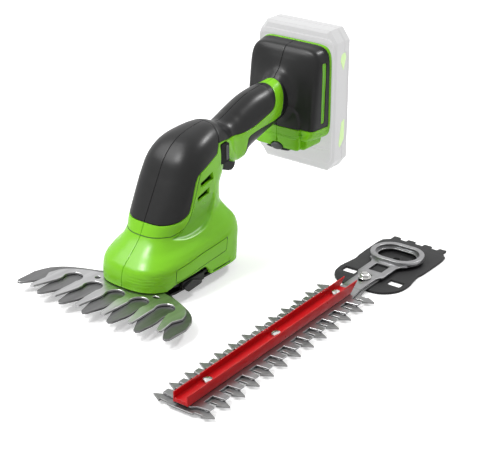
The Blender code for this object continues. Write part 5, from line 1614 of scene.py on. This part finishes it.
RELEASE_BODY = [(-0.0240, 0.0083), (0.0018, 0.0083), (0.0018, 0.0148), (-0.0235, 0.0148)]
RELEASE_LEVER = [(-0.0192, 0.0064), (-0.0046, 0.0079), (-0.0031, 0.0097)]
RELEASE_LEVER += [(-0.0136, 0.0143), (-0.0238, 0.0116)]
RELEASE_FLANGE = [(-0.0200, 0.0130), (-0.0020, 0.0130), (-0.0020, 0.0222), (-0.0200, 0.0222)]


def build_releases():
    """The two release buttons: a block in the window, its finger lever and the flange behind the wall."""
    parts = {
        "block": (RELEASE_BODY, 0.0300, 0.0336, "black_plastic"),
        "lever": (RELEASE_LEVER, 0.0333, 0.0360, "lever_black"),
        "flange": (RELEASE_FLANGE, 0.0291, 0.0310, "black_plastic"),
    }
    for side, word in SIDES:
        for part, (outline, inner, outer, look) in parts.items():
            mesh = side_plate(rounded_polygon(outline, 0.0009, 4), side, inner, outer, 0.0005, 2)
            body, node = f"release_{word[0]}", f"head_release_{word}"
            made(f"release_{part}_{word}", mesh, [look], body, "black_plastic", node)


# How far out the lock-off button's face stands
BUTTON_FACE = 0.0215
BUTTON_RIDGE = rectangle(0.0440, 0.0880, 0.0466, 0.0998, 0.0008)


def build_button_ridge():
    """The raised strip on the lock-off button's outer face, in grey that paints a highlight along the black
    button.
    """
    mesh = side_plate(BUTTON_RIDGE, 1, BUTTON_FACE - 0.0006, BUTTON_FACE + 0.0004, 0.0003, 2)
    made("lock_off_ridge", mesh, ["grey_painted_highlight"], "lock_off", "black_plastic")


CARRIED = {
    "black_plastic": [
        "bottom_plate",
        "motor_cap",
        "motor_mount",
        "shear_carrier",
        "switch",
        "terminal_block",
        "trigger",
    ],
    "button_black": ["lock_off_button"],
    "gear_steel": ["drive_gear", "eccentric", "motor_can"],
    "bright_steel": [
        "gear_clip",
        "gear_pin",
        "motor_shaft",
        "shear_pivot_bolt",
        "shear_pivot_nut",
        "lock_off_spring",
        "trigger_spring",
        *(f"release_spring_{word}" for _, word in SIDES),
        *(f"housing_screw_{i + 1}" for i in range(len(HOUSING_SCREWS))),
    ],
    "board": ["control_board"],
}
ROUNDED = {
    "trigger": 0.0011,
    "lock_off_button": 0.0007,
    "shear_carrier": 0.0004,
    "bottom_plate": 0.0003,
}


def dress_carried():
    """Gives the parts that are carried over their materials, and the larger ones soft edges."""
    for look, nodes in CARRIED.items():
        for name in nodes:
            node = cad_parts[name]
            for k in range(len(node.data.materials)):
                node.data.materials[k] = LOOKS[look]
            if not node.data.materials:
                node.data.materials.append(LOOKS[look])
    for name, width in ROUNDED.items():
        round_edges(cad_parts[name], width, 35).harden_normals = True


# Floor, light and camera

SKY_LEVEL = 0.36
FLOOR_GLOW = 0.40
FLOOR_SIZE = 6.0


def make_world():
    """White all round for the camera and for reflections, and dimmer as light on the pieces."""
    world = bpy.data.worlds.new("studio")
    bpy.context.scene.world = world
    world.use_nodes = True
    nodes, links = world.node_tree.nodes, world.node_tree.links
    background = nodes["Background"]
    background.inputs["Color"].default_value = (1.0, 1.0, 1.0, 1.0)
    rays = nodes.new("ShaderNodeLightPath")

    def either(first, second):
        node = nodes.new("ShaderNodeMath")
        node.operation = "MAXIMUM"
        links.new(first, node.inputs[0])
        links.new(second, node.inputs[1])
        return node.outputs[0]

    glossy = either(rays.outputs["Is Glossy Ray"], rays.outputs["Is Transmission Ray"])
    level = nodes.new("ShaderNodeMapRange")
    level.inputs["To Min"].default_value = SKY_LEVEL
    level.inputs["To Max"].default_value = 1.0
    links.new(either(rays.outputs["Is Camera Ray"], glossy), level.inputs["Value"])
    links.new(level.outputs["Result"], background.inputs["Strength"])


def make_floor():
    """A white floor that glows a little for the camera only."""
    mesh = bpy.data.meshes.new("studio_floor")
    half = FLOOR_SIZE / 2
    corners = [(-half, -half, 0), (half, -half, 0), (half, half, 0), (-half, half, 0)]
    mesh.from_pydata(corners, [], [(0, 1, 2, 3)])
    floor = placed("studio_floor", mesh)
    material = bpy.data.materials.new("floor_white")
    material.use_nodes = True
    nodes, links = material.node_tree.nodes, material.node_tree.links
    shader = nodes["Principled BSDF"]
    shader.inputs["Base Color"].default_value = (0.86, 0.86, 0.86, 1.0)
    shader.inputs["Roughness"].default_value = 0.9
    shader.inputs["Specular IOR Level"].default_value = 0.0
    shader.inputs["Emission Color"].default_value = (1.0, 1.0, 1.0, 1.0)
    rays = nodes.new("ShaderNodeLightPath")
    glow = nodes.new("ShaderNodeMath")
    glow.operation = "MULTIPLY"
    glow.inputs[1].default_value = FLOOR_GLOW
    links.new(rays.outputs["Is Camera Ray"], glow.inputs[0])
    links.new(glow.outputs[0], shader.inputs["Emission Strength"])
    mesh.materials.append(material)


def add_lamp(name, place, target, size, power):
    lamp = bpy.data.lights.new(name, "AREA")
    lamp.shape = "RECTANGLE"
    lamp.size, lamp.size_y = size
    lamp.energy = power
    obj = placed(name, lamp)
    obj.location = place
    obj.rotation_euler = (Vector(target) - Vector(place)).to_track_quat("-Z", "Y").to_euler()


def make_camera():
    camera = bpy.data.cameras.new("photo_camera")
    camera.lens, camera.sensor_width, camera.sensor_fit = LENS_MM, SENSOR_MM, "HORIZONTAL"
    camera.clip_start, camera.clip_end = 0.05, 20.0
    obj = placed("photo_camera", camera)
    obj.location = CAMERA_PLACE
    heading = Vector((*CAMERA_HEADING, 0)).normalized()
    forward = heading * math.cos(CAMERA_PITCH) - Vector((0, 0, math.sin(CAMERA_PITCH)))
    obj.rotation_euler = forward.to_track_quat("-Z", "Y").to_euler()
    bpy.context.scene.camera = obj


build_body()
build_holder()
build_pack()
build_latch()
build_lower_shear_blade()
build_upper_shear_blade()
build_hedge_blades()
build_channel()
build_hedge_fasteners()
build_yoke()
build_hedge_plate()
build_releases()
build_button_ridge()
dress_carried()

make_world()
make_floor()
add_lamp("key_light", (-0.80, -0.60, 1.45), (0.0, 0.0, 0.05), (1.3, 1.1), 19.0)
add_lamp("front_glint", (-0.32, -0.62, 1.15), (0.0, -0.02, 0.06), (0.20, 0.16), 5.0)
add_lamp("rear_glint", (0.30, 0.75, 0.95), (0.0, 0.06, 0.08), (0.25, 0.15), 6.0)
make_camera()
bpy.context.scene.view_settings.view_transform = "Standard"
